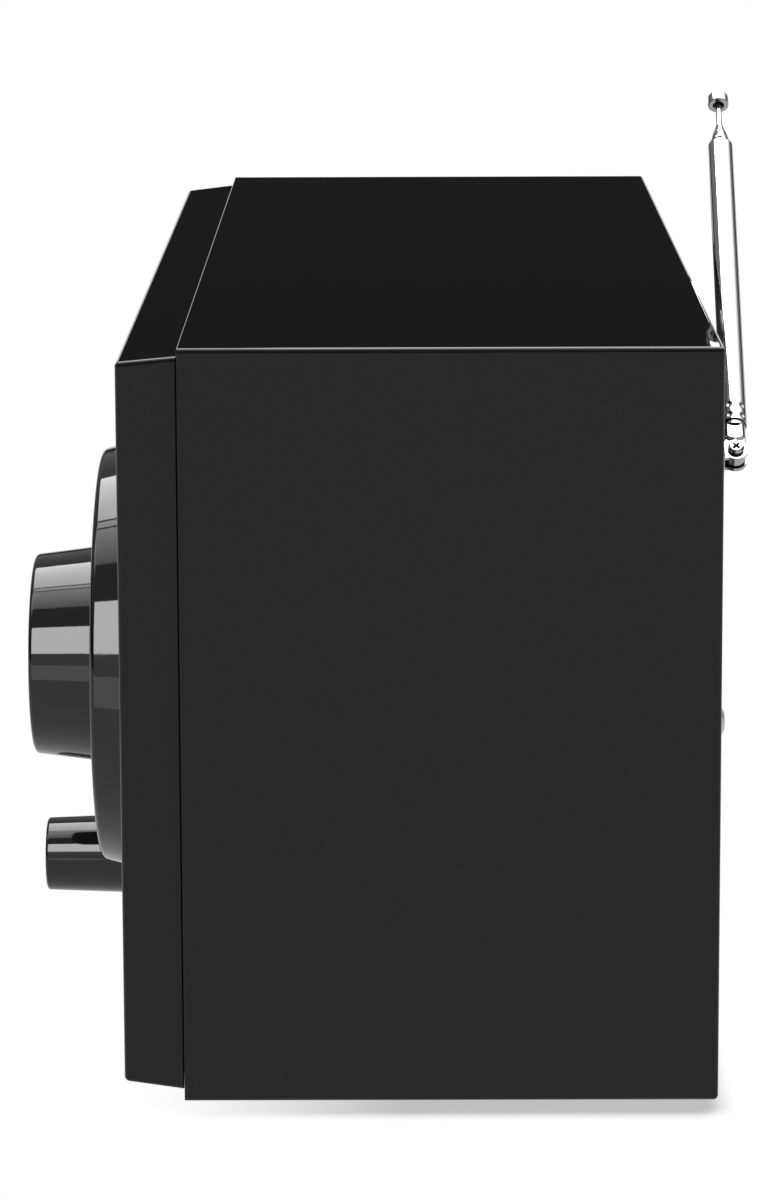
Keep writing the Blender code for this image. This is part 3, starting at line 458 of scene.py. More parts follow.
def ease(obj, width, segments=3):
    """Rounds the sharp edges of an object."""
    modifier = obj.modifiers.new("eased_edges", "BEVEL")
    modifier.width = width
    modifier.segments = segments
    modifier.limit_method = "ANGLE"
    modifier.angle_limit = SHARP_EDGE
    modifier.harden_normals = False
    apply(obj)


EDGE_RADIUS = 0.9 * MM
RIM_RADIUS = 0.32 * MM


def ease_block(obj, rim_y):
    """Rounds the edges of a block. Those of the rim that faces the next block are finer."""
    weights = obj.data.attributes.new("bevel_weight_edge", "FLOAT", "EDGE")
    for edge in obj.data.edges:
        far = max(abs(obj.data.vertices[index].co.y - rim_y) for index in edge.vertices)
        weights.data[edge.index].value = RIM_RADIUS / EDGE_RADIUS if far < 0.01 * MM else 1.0
    modifier = obj.modifiers.new("eased_edges", "BEVEL")
    modifier.width = EDGE_RADIUS
    modifier.segments = 8
    modifier.limit_method = "WEIGHT"
    return apply(obj)


def join(name, objects):
    """One object from several, keeping their materials."""
    bm = bmesh.new()
    materials = []
    for obj in objects:
        material = obj.data.materials[0]
        if material not in materials:
            materials.append(material)
        start = len(bm.faces)
        bm.from_mesh(obj.data)
        bm.faces.ensure_lookup_table()
        for face in bm.faces[start:]:
            face.material_index = materials.index(material)
        bpy.data.objects.remove(obj, do_unlink=True)
    mesh = bpy.data.meshes.new(name)
    bm.to_mesh(mesh)
    bm.free()
    for material in materials:
        mesh.materials.append(material)
    return add_object(name, mesh)


def smooth(obj):
    """Smooth shading that keeps flat faces flat and sharp edges sharp."""
    obj.data.shade_smooth()
    obj.data.set_sharp_from_angle(angle=SHARP_SHADING)
    modifier = obj.modifiers.new("flat_faces", "WEIGHTED_NORMAL")
    modifier.keep_sharp = True


def dress(obj, slot, body, *nodes, material=None):
    """Gives a new piece its material, its body and the nodes that it stands for."""
    if not obj.data.materials:
        obj.data.materials.append(material or LOOKS[slot])
    smooth(obj)
    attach(obj, body)
    if nodes:
        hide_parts(*nodes)


def coat_frame_nodes():
    """Every node that stays in view gets the look of its slot."""
    for row in frame["record"]["subparts"]:
        mesh = frame["nodes"][row["node"]].data
        mesh.materials.clear()
        mesh.materials.append(LOOKS[row["material_slot"]])


# ---------------------------------------------------------------- cabinet and panels

SEAM = 0.12 * MM
WALL = 10 * MM
REAR_LIP = 3 * MM
# How far a cutter reaches beyond what it cuts.
PAST = 5 * MM


def make_cabinet():
    """Four walls, open in front and rebated at the back for the rear panel."""
    low, high = SHELL_LOW, SHELL_HIGH
    case = ease_block(slab("cabinet_case", low, high), low.y)
    inner = Vector((WALL, 0, WALL))
    past = Vector((0, PAST, 0))
    hollow = slab("hollow", low + inner - past, high - inner + past)
    lip = Vector((REAR_LIP, 0, REAR_LIP))
    rebate_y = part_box("rear_panel")[0].y - GAP
    rebate_low = Vector((low.x, rebate_y, low.z)) + lip
    rebate = slab("rebate", rebate_low, high - lip + past)
    cut(case, hollow, rebate)
    ease(case, 0.25 * MM)
    dress(case, "black_lacquer", "cabinet", "cabinet_shell")


def make_front_panel():
    """A slab that narrows towards its face, on the plug that locates it in the cabinet."""
    back_y = SHELL_LOW.y - SEAM
    taper = 1.2 * MM
    panel = slab("front_panel_slab", PANEL_LOW, (PANEL_HIGH.x, back_y, PANEL_HIGH.z))
    centre_z = (PANEL_LOW.z + PANEL_HIGH.z) / 2
    for vertex in panel.data.vertices:
        if vertex.co.y < (PANEL_FACE_Y + back_y) / 2:
            vertex.co.x -= math.copysign(taper, vertex.co.x)
            vertex.co.z -= math.copysign(taper, vertex.co.z - centre_z)
    ease_block(panel, back_y)
    inset = Vector((WALL + GAP, 0, WALL + GAP))
    plug_low = Vector((SHELL_LOW.x, back_y - 2 * MM, SHELL_LOW.z)) + inset
    plug_high = Vector((SHELL_HIGH.x, PANEL_HIGH.y, SHELL_HIGH.z)) - inset
    fuse(panel, slab("plug", plug_low, plug_high))
    front, back = PANEL_FACE_Y - PAST, PANEL_HIGH.y + PAST
    holes = (("tuning_knob", 4.1), ("volume_knob", 4.5), ("speaker_grille", 34))
    cut(panel, *(drill(node, radius, front, back, 96) for node, radius in holes))
    dress(panel, "black_lacquer", "cabinet", "front_panel")


def cross_recess(place, reach, width, top, depth):
    """The two crossed slots of a screw head, as cutters."""
    arms = []
    for index in range(2):
        turn = Matrix.Rotation(math.pi / 4 + index * math.pi / 2, 4, "Z")
        low, high = (-reach, -width / 2, top - depth), (reach, width / 2, top + depth)
        arms.append(slab(f"arm_{index}", low, high, place=place @ turn))
    return arms


def shade_recess(screw, place, top, bottom, reach):
    """The walls and floor of a screw's recess get a dull dark brown, a painted shade that stands in for the shade
    falling in it.
    """
    screw.data.materials.append(LOOKS["chrome"])
    screw.data.materials.append(RECESS_SHADE)
    inverse = place.inverted()
    for face in screw.data.polygons:
        centre = inverse @ face.center
        if bottom < centre.z < top and math.hypot(centre.x, centre.y) < reach:
            face.material_index = 1


# Each hole: the node at its middle and its radius in millimetres.
REAR_HOLES = (
    ("rear_screw_1", 1.8),
    ("rear_screw_2", 1.8),
    ("rear_screw_3", 1.8),
    ("rear_screw_4", 1.8),
    ("aerial_mount", 2.6),
    ("dc_jack", 6.3),
    ("headphone_jack", 4.3),
)
VENT_COUNT = 7
VENT_PITCH = 7.5 * MM
VENT_HALF_WIDTH = 1.2 * MM
VENT_BOTTOM = 100 * MM
VENT_TOP = 124 * MM


def make_rear_panel():
    """A moulded cover with holes for what it holds, vents, and a mark at each end of the switch."""
    low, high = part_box("rear_panel")
    panel = slab("rear_cover_panel", low, high)
    front, back = low.y - PAST, high.y + PAST
    holes = [drill(node, radius, front, back, 48) for node, radius in REAR_HOLES]
    door_low, door_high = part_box("battery_door")
    holes.append(
        slab(
            "door_opening",
            (door_low.x - GAP, front, door_low.z - GAP),
            (door_high.x + GAP, back, door_high.z + GAP),
        )
    )
    switch = middle("band_switch_slider")
    holes.append(upright_slab("switch_slot", switch.x, switch.z, 7.5 * MM, 2.3 * MM, front, back))
    speaker_x = middle("speaker_grille").x
    for vent in range(VENT_COUNT):
        x = speaker_x + (vent - VENT_COUNT // 2) * VENT_PITCH
        vent_low = (x - VENT_HALF_WIDTH, front, VENT_BOTTOM)
        vent_high = (x + VENT_HALF_WIDTH, back, VENT_TOP)
        holes.append(slab(f"vent_{vent}", vent_low, vent_high))
    mark_depth = 0.3 * MM
    for index, step in enumerate((-1, 1)):
        x = switch.x + step * 12 * MM
        mark = upright_slab(f"mark_{index}", x, switch.z, 0.4 * MM, 2 * MM, high.y - mark_depth, back)
        holes.append(mark)
    cut(panel, *holes)
    ease(panel, 0.3 * MM)
    dress(panel, "black_plastic", "cabinet", "rear_panel")


def make_battery_door():
    """A cover with a thumb recess near its top and fine grooves below it."""
    low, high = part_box("battery_door")
    door = slab("battery_cover", low, high, 0.35 * MM)
    centre = (low.x + high.x) / 2
    tools = [
        slab(
            "thumb_recess",
            (centre - 9 * MM, high.y - 1.2 * MM, high.z - 7 * MM),
            (centre + 9 * MM, high.y + 5 * MM, high.z - 2.5 * MM),
        )
    ]
    groove_floor, groove_top = high.y - 0.35 * MM, high.y + 1 * MM
    for rib in range(7):
        z = high.z - 11 * MM - rib * 1.6 * MM
        groove = upright_slab(f"groove_{rib}", centre, z, 12 * MM, 0.4 * MM, groove_floor, groove_top)
        tools.append(groove)
    cut(door, *tools)
    ease(door, 0.15 * MM, 2)
    dress(door, "black_plastic", "battery_cover", "battery_door")


def make_rear_screws():
    for index in range(1, 5):
        node = f"rear_screw_{index}"
        low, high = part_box(node)
        spot = middle(node)
        length = (high.y - low.y) / MM
        head = [(0, 0, 0), (1.6, -0.1, 1), (3, -0.9, 0.5), (3, -1.7, 0)]
        thread = [(1.5, -1.7, 0), (1.5, 1.5 - length, 0), (0, -length, 0)]
        place = at(spot.x, high.y, spot.z, TO_REAR)
        screw = lathe(f"cover_screw_{index}", head + thread, place, 64)
        cut(screw, *cross_recess(place, 1.7 * MM, 0.55 * MM, 0, 0.8 * MM))
        dress(screw, "zinc_steel", "cabinet", node)


def make_feet():
    for index in range(1, 5):
        node = f"foot_{index}"
        low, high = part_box(node)
        spot = middle(node)
        radius, height = (high.x - low.x) / 2 / MM, (high.z - low.z) / MM
        profile = [(0, 0, 0), (radius, 0, 0.6), (radius, height, 0.2), (0, height, 0)]
        foot = lathe(f"rubber_{node}", profile, at(spot.x, spot.y, low.z), 96)
        dress(foot, "foot_rubber", "cabinet", node)


def on_rear(node):
    """The rear panel's face at a node's middle, with local Z towards the back."""
    spot = middle(node)
    return at(spot.x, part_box("rear_panel")[1].y, spot.z, TO_REAR)


def make_sockets():
    pin = [(0, -1.5, 0), (0.9, -1.5, 0.3), (0.9, -10, 0)]
    sleeve = [(2.8, -10, 0), (2.8, 0, 0.4), (6, 0, 0.4), (6, -12, 0), (0, -12, 0)]
    jack = lathe("power_socket", pin + sleeve, on_rear("dc_jack"), 96)
    dress(jack, "black_plastic", "cabinet", "dc_jack")
    sleeve = [(0, -13, 0), (1.8, -13, 0), (1.8, 0, 0.5), (4, 0, 0.4), (4, -14.5, 0), (0, -14.5, 0)]
    jack = lathe("headphone_socket", sleeve, on_rear("headphone_jack"), 96)
    dress(jack, "black_plastic", "cabinet", "headphone_jack")


def make_band_switch():
    """The slider's nub, with five fine grooves for the finger."""
    low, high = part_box("band_switch_slider")
    nub = slab("switch_nub", low, high, 0.25 * MM)
    grooves = []
    for step in range(-2, 3):
        x = (low.x + high.x) / 2 + step * 1.2 * MM
        groove_low = (x - 0.2 * MM, high.y - 0.25 * MM, low.z - 1 * MM)
        groove_high = (x + 0.2 * MM, high.y + 1 * MM, high.z + 1 * MM)
        grooves.append(slab(f"groove_{step}", groove_low, groove_high))
    cut(nub, *grooves)
    dress(nub, "black_plastic", "band_switch", "band_switch_slider")


def make_cells():
    """Four dry cells that point up and down by turns."""
    for index in range(1, 5):
        node = f"battery_{index}"
        low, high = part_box(node)
        spot = middle(node)
        radius, half = (high.x - low.x) / 2 / MM, (high.z - low.z) / 2 / MM
        shoulder = half - 1.2
        nub = [(0, half, 0), (2.6, half, 0.4), (2.6, shoulder, 0.2)]
        can = [(radius, shoulder, 0.9), (radius, -half, 0.7), (0, -half, 0)]
        turn = Matrix.Rotation(math.pi * ((index + 1) % 2), 4, "Y")
        cell = lathe(f"dry_cell_{index}", nub + can, at(*spot, turn), 96)
        dress(cell, "cell_label", "cabinet", node)


# ---------------------------------------------------------------- dial, knobs and speaker



def on_front(node):
    """The front panel's face at a node's middle, with local Z towards the front."""
    spot = middle(node)
    return at(spot.x, PANEL_FACE_Y, spot.z, TO_FRONT)


DIAL_PLACE = on_front("tuning_knob")


def height_of(node):
    """How far a node's back and front stand ahead of the front panel's face, in millimetres."""
    low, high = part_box(node)
    return (PANEL_FACE_Y - high.y) / MM, (PANEL_FACE_Y - low.y) / MM


def radius_of(node):
    low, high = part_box(node)
    return (high.x - low.x) / 2 / MM


def make_dial_ring():
    back, front = height_of("dial_bezel")
    base = radius_of("dial_bezel")
    corners = [
        (37.6, front, 0.35),
        (39.8, front, 1.4),
        (base, back, 0.15),
        (36, back, 0),
        (36, 4.4, 0.1),
        (37.6, 4.4, 0.1),
    ]
    ring = lathe("dial_ring", corners, DIAL_PLACE, 256, closed=True, fillet_steps=8)
    dress(ring, "gloss_plastic", "cabinet", "dial_bezel")


def make_dial_face():
    card = [(35.7, 1.1, 0.1), (35.7, 0.3, 0), (5, 0.3, 0), (5, 1.1, 0.1)]
    disc = lathe("dial_disc", card, DIAL_PLACE, 192, closed=True)
    dress(disc, "dial_card", "cabinet", "dial_scale")
    lens = [(4.2, 7.15, 0.2), (22, 7.05, 4), (37.2, 6.55, 0.35), (37.2, 4.7, 0), (4.2, 4.7, 0)]
    window = lathe("dial_window", lens, DIAL_PLACE, 192, closed=True)
    dress(window, "clear_plastic", "cabinet", "dial_lens")


DIAL_SWEEP = 270
CARD_FACE = 1.1
TICKS_PER_NUMBER = 4
# Each scale: its radius, its numbers, its ink and the height of its numerals, in millimetres.
SCALES = (
    (31.6, (88, 92, 96, 100, 104, 108), IVORY, 2.9),
    (25.4, (53, 60, 80, 100, 130, 160), AMBER, 2.4),
)


def dial_angle(share):
    """Angle from straight up, clockwise seen from the front, for a share of the scale."""
    return math.radians(DIAL_SWEEP * (share - 0.5))


def on_dial(radius, angle):
    """A place on the dial card: up is straight away from the dial's middle."""
    turn = Matrix.Rotation(-angle, 4, "Z")
    return DIAL_PLACE @ turn @ Matrix.Translation((0, radius * MM, CARD_FACE * MM))


def make_dial_marks():
    """Generic wavebands: an arc, its ticks and its numbers on each of two scales."""
    made = []
    for radius, numbers, ink, size in SCALES:
        near, far, print_top = radius + 2.35, radius + 2.55, 1.16
        arc = [(near, CARD_FACE, 0), (far, CARD_FACE, 0), (far, print_top, 0), (near, print_top, 0)]
        made.append(dial_arc(f"arc_{radius}", rounded(arc, True), ink))
        ticks = (len(numbers) - 1) * TICKS_PER_NUMBER
        for tick in range(ticks + 1):
            length = 1.5 if tick % TICKS_PER_NUMBER == 0 else 0.8
            place = on_dial(radius + 2.4, dial_angle(tick / ticks))
            tick_low, tick_high = (-0.12 * MM, -length * MM, 0), (0.12 * MM, 0, 0.06 * MM)
            mark = slab(f"tick_{tick}", tick_low, tick_high, place=place)
            mark.data.materials.append(ink)
            made.append(mark)
        for index, number in enumerate(numbers):
            place = on_dial(radius - 0.9, dial_angle(index / (len(numbers) - 1)))
            made.append(lettering(str(number), size, place, ink))
    marks = join("dial_marks", made)
    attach(marks, "cabinet")


def dial_arc(name, profile, ink, steps=180):
    """A thin printed line along the dial's sweep."""
    bm = bmesh.new()
    sections = []
    for step in range(steps + 1):
        angle = math.pi / 2 - dial_angle(step / steps)
        sections.append([bm.verts.new((r * math.cos(angle), r * math.sin(angle), h)) for r, h in profile])
    count = len(profile)
    for section, follower in zip(sections, sections[1:]):
        for corner in range(count):
            after = (corner + 1) % count
            bm.faces.new((section[corner], section[after], follower[after], follower[corner]))
    bm.faces.new(sections[0])
    bm.faces.new(sections[-1])
    line = new_object(name, bm, DIAL_PLACE)
    line.data.materials.append(ink)
    return line


PRINT_HALF_THICKNESS = 0.03 * MM


def lettering(words, size, place, ink):
    """A number in the built-in typeface, as thin raised print."""
    curve = bpy.data.curves.new("number", "FONT")
    curve.body = words
    curve.size = size * MM
    curve.align_x = "CENTER"
    curve.align_y = "CENTER"
    curve.extrude = PRINT_HALF_THICKNESS
    curve.resolution_u = 3
    text = add_object("number", curve)
    bpy.context.view_layer.update()
    mesh = bpy.data.meshes.new_from_object(text.evaluated_get(bpy.context.evaluated_depsgraph_get()))
    bpy.data.objects.remove(text, do_unlink=True)
    mesh.transform(place @ Matrix.Translation((0, 0, PRINT_HALF_THICKNESS)))
    mesh.materials.clear()
    mesh.materials.append(ink)
    return add_object("number", mesh)


def make_pointer():
    """A hub on the tuning shaft, with a needle that narrows towards its tip."""
    hub = [(7, 3, 0.2), (7, 2.2, 0), (3.3, 2.2, 0), (3.3, 3, 0)]
    pointer = lathe("dial_needle", hub, DIAL_PLACE, 96, closed=True)
    bm = bmesh.new()
    outline = [(-0.5, 5), (0.5, 5), (0.5, 24), (0.16, 33.5), (-0.16, 33.5), (-0.5, 24)]
    lower = [bm.verts.new((x * MM, y * MM, 2.3 * MM)) for x, y in outline]
    upper = [bm.verts.new((x * MM, y * MM, 2.9 * MM)) for x, y in outline]
    bm.faces.new(lower)
    bm.faces.new(upper)
    for index in range(len(outline)):
        after = (index + 1) % len(outline)
        bm.faces.new((lower[index], lower[after], upper[after], upper[index]))
    fuse(pointer, new_object("needle", bm, DIAL_PLACE))
    dress(pointer, "pointer_red", "tuning_drive", "dial_pointer")


def make_knob(name, node, body, front_radius, fillet, skirt):
    """A tapered gloss knob with a shallow dished face and a fine inlaid line."""
    back, front = height_of(node)
    base = radius_of(node)
    place = on_front(node)
    face = front_radius - fillet - 0.5
    corners = [
        (0, front - 0.35, 0),
        (0.72 * face, front - 0.3, 2.0),
        (face, front, 0.5),
        (front_radius, front, fillet),
        (base, back, 0.12),
        *skirt,
    ]
    knob = lathe(name, corners, place, 256, fillet_steps=8)
    groove_low = (-0.35 * MM, 0.55 * face * MM, (front - 0.75) * MM)
    groove_high = (0.35 * MM, 0.93 * face * MM, (front + 1) * MM)
    cut(knob, slab("groove", groove_low, groove_high, place=place))
    dress(knob, "gloss_plastic", body, node)
    inlay_high = (0.3 * MM, 0.92 * face * MM, (front - 0.42) * MM)
    inlay_low = (-0.3 * MM, 0.56 * face * MM, (front - 0.72) * MM)
    inlay = slab(f"{name}_line", inlay_low, inlay_high, 0.08 * MM, 2, place)
    dress(inlay, "gloss_plastic", body, material=IVORY)


def make_knobs():
    back = height_of("tuning_knob")[0]
    skirt = [(19.2, back, 0.1), (17.9, 16.2, 0.5), (5.8, 16.2, 0), (5.8, 8.4, 0)]
    bore = [(3.3, 8.4, 0), (3.3, 17.4, 0), (0, 17.4, 0)]
    make_knob("tuning_dial_knob", "tuning_knob", "tuning_drive", 19.35, 1.0, skirt + bore)
    back = height_of("volume_knob")[0]
    skirt = [(6.4, back, 0.1), (5.6, 2, 0.2)]
    bore = [(3.3, 2, 0), (3.3, 16.4, 0), (0, 16.4, 0)]
    make_knob("loudness_knob", "volume_knob", "volume_control", 7.3, 0.7, skirt + bore)


HOLE_PITCH = 2.6 * MM
HOLE_RADIUS = 0.85 * MM
HOLE_SIDES = 12
MESH_THICKNESS = 0.6 * MM


def make_grille():
    """A domed sheet with a honeycomb of small round holes, in its trim ring."""
    back, front = height_of("grille_ring")
    place = on_front("grille_ring")
    base = radius_of("grille_ring")
    corners = [
        (37.8, front, 0.4),
        (40.8, front, 1.0),
        (base, back, 0.15),
        (36.4, back, 0),
        (36.4, 1, 0),
        (37.8, 1, 0),
    ]
    ring = lathe("speaker_trim_ring", corners, place, 256, closed=True, fillet_steps=8)
    dress(ring, "gloss_plastic", "cabinet", "grille_ring")
    sheet = perforated_disc("speaker_mesh", radius_of("speaker_grille") * MM, place)
    dress(sheet, "perforated_metal", "cabinet", "speaker_grille")


DOME_TOP = 3.1 * MM
DOME_FALL = 1.0 * MM
DOME_RADIUS = 37 * MM


def dome(x, y):
    """Height of the grille's outer skin over the panel's face."""
    return DOME_TOP - DOME_FALL * (x * x + y * y) / DOME_RADIUS**2


def round_of(bm, x, y, radius, sides, start=0.0):
    """New vertices round a point."""
    angles = [start + 2 * math.pi * side / sides for side in range(sides)]
    return [bm.verts.new((x + radius * math.cos(a), y + radius * math.sin(a), 0)) for a in angles]


def hexagon(x, y, reach):
    """The corners and the middles of the sides of a hexagon, from 30 degrees on."""
    angles = [math.radians(30 + 60 * side) for side in range(7)]
    corners = [Vector((math.cos(angle), math.sin(angle))) for angle in angles]
    points = []
    for first, second in zip(corners, corners[1:]):
        points += [first, (first + second) / 2]
    return [(x + reach * point.x, y + reach * point.y) for point in points]


def perforated_disc(name, radius, place):
    """Each hexagon of a honeycomb has a round hole, and a plain rim closes the disc."""
    bm = bmesh.new()
    corner_reach = HOLE_PITCH / math.sqrt(3)
    reach = radius - 2.2 * MM
    rows = int(reach / HOLE_PITCH * 1.2) + 1
    shared = {}

    def corner_at(spot):
        """A vertex that neighbouring hexagons share."""
        key = tuple(round(part / (0.02 * MM)) for part in spot)
        if key not in shared:
            shared[key] = bm.verts.new((*spot, 0))
        return shared[key]

    for row in range(-rows, rows + 1):
        for column in range(-rows, rows + 1):
            x = (column + 0.5 * (row % 2)) * HOLE_PITCH
            y = row * HOLE_PITCH * math.sqrt(3) / 2
            if math.hypot(x, y) + corner_reach > reach:
                continue
            outer = [corner_at(spot) for spot in hexagon(x, y, corner_reach)]
            inner = round_of(bm, x, y, HOLE_RADIUS, HOLE_SIDES, math.radians(30))
            for side in range(HOLE_SIDES):
                after = (side + 1) % HOLE_SIDES
                bm.faces.new((outer[side], outer[after], inner[after], inner[side]))
    honeycomb = set(shared.values())
    jagged = [edge for edge in bm.edges if edge.is_boundary and honeycomb.issuperset(edge.verts)]
    rim = round_of(bm, 0, 0, radius, 192)
    rim_edges = [bm.edges.new((rim[index - 1], rim[index])) for index in range(len(rim))]
    bmesh.ops.triangle_fill(bm, use_beauty=True, use_dissolve=False, edges=jagged + rim_edges)
    bm.normal_update()
    bmesh.ops.reverse_faces(bm, faces=[face for face in bm.faces if face.normal.z < 0])
    for vertex in bm.verts:
        vertex.co.z = dome(vertex.co.x, vertex.co.y)
    sheet = new_object(name, bm, place)
    modifier = sheet.modifiers.new("sheet", "SOLIDIFY")
    modifier.thickness = MESH_THICKNESS
    modifier.offset = -1
    return apply(sheet)


# ---------------------------------------------------------------- aerial


def axes_at(origin, x, y, z):
    """The matrix of a place with the given axes."""
    return Matrix.Translation(origin) @ Matrix((x, y, z)).transposed().to_4x4()


AERIAL_PIVOT = Vector(JOINTS["aerial_fold"]["pos_m"])
CROSS_AXIS = -Vector(JOINTS["aerial_fold"]["axis"])
MAST_AXIS = Vector(JOINTS["aerial_pull_2"]["axis"])
BACKWARD = Vector((0, 1, 0))
SWIVEL = axes_at(AERIAL_PIVOT, CROSS_AXIS, BACKWARD, CROSS_AXIS.cross(BACKWARD))
MAST = axes_at(AERIAL_PIVOT, CROSS_AXIS, MAST_AXIS.cross(CROSS_AXIS), MAST_AXIS)
ALONG_CROSS = SWIVEL @ Matrix.Rotation(math.pi / 2, 4, "Y")
ACROSS = Vector((1, 0, 0))


def make_aerial_mount():
    end = (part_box("aerial_mount")[1].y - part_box("rear_panel")[1].y) / MM
    stud = [(0, end, 0), (4.2, end, 0.5), (4.2, 0.3, 0.3), (2.3, 0.3, 0), (2.3, -9, 0.3), (0, -9, 0)]
    mount = lathe("aerial_stud", stud, on_rear("aerial_mount"), 96)
    dress(mount, "chrome", "cabinet", "aerial_mount")


def make_aerial_fork():
    """Two round ears on a base disc, with the cross screw through them."""
    low, high = local_box("aerial_fork", SWIVEL)
    throat, ear_outer, disc = 1.2 * MM, 2 * MM, 0.6 * MM
    base_y, ear_radius = low.y, high.y
    fork = rod("aerial_clevis", ear_radius, -ear_outer * ACROSS, ear_outer * ACROSS, 96, SWIVEL)
    base = rod("base", 3.9 * MM, (0, base_y, 0), (0, base_y + disc, 0), 96, SWIVEL)
    web_x, web_z = ear_outer - 0.1 * MM, ear_radius - 0.3 * MM
    web = slab("web", (-web_x, base_y + 0.3 * MM, -web_z), (web_x, 0, web_z), place=SWIVEL)
    fuse(fork, web, base)
    past = 9 * MM
    opening = slab("throat", (-throat, base_y + disc, -past), (throat, past, past), place=SWIVEL)
    cut(fork, opening, rod("bore", 1.1 * MM, -past * ACROSS, past * ACROSS, 48, SWIVEL))
    ease(fork, 0.18 * MM)
    dress(fork, "chrome", "aerial_swivel", "aerial_fork")
    head = [
        (0, 3.2, 0),
        (1.3, 3.12, 0.3),
        (1.65, 2.6, 0.1),
        (1.65, 2.2, 0.05),
        (0.85, 2.2, 0),
        (0.85, -2.4, 0.15),
        (0, -2.4, 0),
    ]
    screw = lathe("aerial_cross_screw", head, ALONG_CROSS, 64)
    cut(screw, *cross_recess(ALONG_CROSS, 0.95 * MM, 0.56 * MM, 3.2 * MM, 0.75 * MM))
    # The recess faces are coloured dark: painted shade.
    shade_recess(screw, ALONG_CROSS, 3 * MM, 2.3 * MM, 1.1 * MM)
    dress(screw, "chrome", "aerial_swivel", "aerial_screw")


def make_aerial_knuckle():
    """A plug that fills the outer tube's foot, with a flat eye for the cross screw."""
    tongue, eye_radius = 0.9 * MM, 2.1 * MM
    plug = [(0, 13.2, 0), (2.28, 13.2, 0.1), (2.28, 3.9, 0.3), (1, 2.8, 0.1), (0, 2.8, 0)]
    knuckle = lathe("aerial_eye", plug, MAST, 96)
    eye = rod("eye", eye_radius, -tongue * ACROSS, tongue * ACROSS, 96, MAST)
    neck = slab("neck", (-tongue, -1.9 * MM, 0), (tongue, 1.9 * MM, 3.9 * MM), place=MAST)
    fuse(knuckle, eye, neck)
    flats = []
    for index, side in enumerate((-1, 1)):
        near, far = sorted((side * 1.75 * MM, side * 5 * MM))
        flats.append(slab(f"flat_{index}", (near, -5 * MM, 0), (far, 5 * MM, 7 * MM), place=MAST))
    cut(knuckle, *flats, rod("bore", 1.1 * MM, -9 * MM * ACROSS, 9 * MM * ACROSS, 48, MAST))
    ease(knuckle, 0.12 * MM, 2)
    dress(knuckle, "chrome", "aerial_mast", "aerial_knuckle")


# Each tube: its body, outer and inner radius, the radius of its rolled lip and its cone's length, in mm.
TUBES = (
    ("aerial_mast", 2.68, 2.43, 2.02, 1.35),
    ("aerial_section_2", 1.96, 1.66, 1.42, 2.1),
    ("aerial_section_3", 1.36, 1.1, 0.7, 2.2),
)
DIMPLE_ROWS = (9.1 * MM, 11.8 * MM)
DIMPLE_FIRST = math.radians(-22)
DIMPLE_REACH = 0.85 * MM
DIMPLE_DEPTH = 0.2 * MM


def tube_heights(bottom, top):
    """Heights of a tube's rings: close together where it is dimpled, far apart elsewhere."""
    fine_low, fine_high, step = 8.1, 12.8, 0.14
    if bottom > fine_low:
        return [top, bottom]
    fine = [fine_high - step * index for index in range(int((fine_high - fine_low) / step) + 1)]
    return [top, *fine, bottom]


def dimple(vertex):
    """Pushes a vertex of the outer tube inwards where the tube is punched onto its plug."""
    radius = math.hypot(vertex.co.x, vertex.co.y)
    angle = math.atan2(vertex.co.y, vertex.co.x)
    for row in DIMPLE_ROWS:
        for index in range(6):
            gap = angle - DIMPLE_FIRST - index * math.pi / 3
            gap = (gap + math.pi) % (2 * math.pi) - math.pi
            far = math.hypot(gap * radius, vertex.co.z - row) / DIMPLE_REACH
            if far < 1:
                shrink = 1 - DIMPLE_DEPTH * (1 - far * far) ** 2 / radius
                vertex.co.x *= shrink
                vertex.co.y *= shrink


def make_aerial_tubes():
    """Nested tubes, each rolled in at its end to a short cone round the next."""
    for index, (body, outer, inner, lip, cone) in enumerate(TUBES):
        node = f"aerial_tube_{index + 1}"
        low, high = local_box(node, MAST)
        bottom, end = low.z / MM, high.z / MM
        shoulder = end - cone
        outside = [(outer, height, 0) for height in tube_heights(bottom, shoulder)]
        outside[0] = (outer, shoulder, 0.5)
        inside = [(inner, height, 0) for height in reversed(tube_heights(bottom, shoulder - 0.6))]
        corners = [(lip, end, 0.02), (lip + 0.06, end, 0.02), *outside, *inside, (lip, shoulder, 0)]
        tube = lathe(f"aerial_section_{index + 1}", corners, Matrix.Identity(4), 192, closed=True)
        if index == 0:
            for vertex in tube.data.vertices:
                dimple(vertex)
        tube.data.transform(MAST)
        dress(tube, "chrome", body, node)


def make_aerial_whip():
    """The thin inner rod and the button at its end."""
    low, high = local_box("aerial_rod", MAST)
    bottom, top = low.z / MM, high.z / MM
    whip = [(0, top, 0), (0.62, top, 0.1), (0.62, bottom, 0.1), (0, bottom, 0)]
    dress(lathe("aerial_whip_rod", whip, MAST, 48), "chrome", "aerial_whip", "aerial_rod")
    low, high = local_box("aerial_tip", MAST)
    radius, bottom, top = high.x / MM - 0.02, low.z / MM, high.z / MM
    button = [
        (0, top, 0),
        (radius, top, 0.45),
        (radius, bottom, 0.25),
        (1.25, bottom, 0.1),
        (0.95, bottom + 0.5, 0.1),
        (0.92, bottom + 1.5, 0),
        (0, bottom + 1.5, 0),
    ]
    dress(lathe("aerial_button", button, MAST, 128), "chrome", "aerial_whip", "aerial_tip")


# ---------------------------------------------------------------- stage, light and camera


FLOOR_GLOW = 0.85
FLOOR_HALF_WIDTH = 4
# The floor's painted contact shadow: its reach, its darkest level and how far it fades towards the front.
CONTACT_REACH = 5.5 * MM
CONTACT_SHADE = 0.52
SHADE_FADE = 40 * MM


def emission(name, strength):
    """A plain glowing material, with its node tree and its emission node."""
    material = bpy.data.materials.new(name)
    material.use_nodes = True
    tree = material.node_tree
    tree.nodes.clear()
    glow = add_node(tree, "Emission", {"Strength": strength})
    add_node(tree, "OutputMaterial", {"Surface": glow.outputs["Emission"]})
    return material, tree, glow


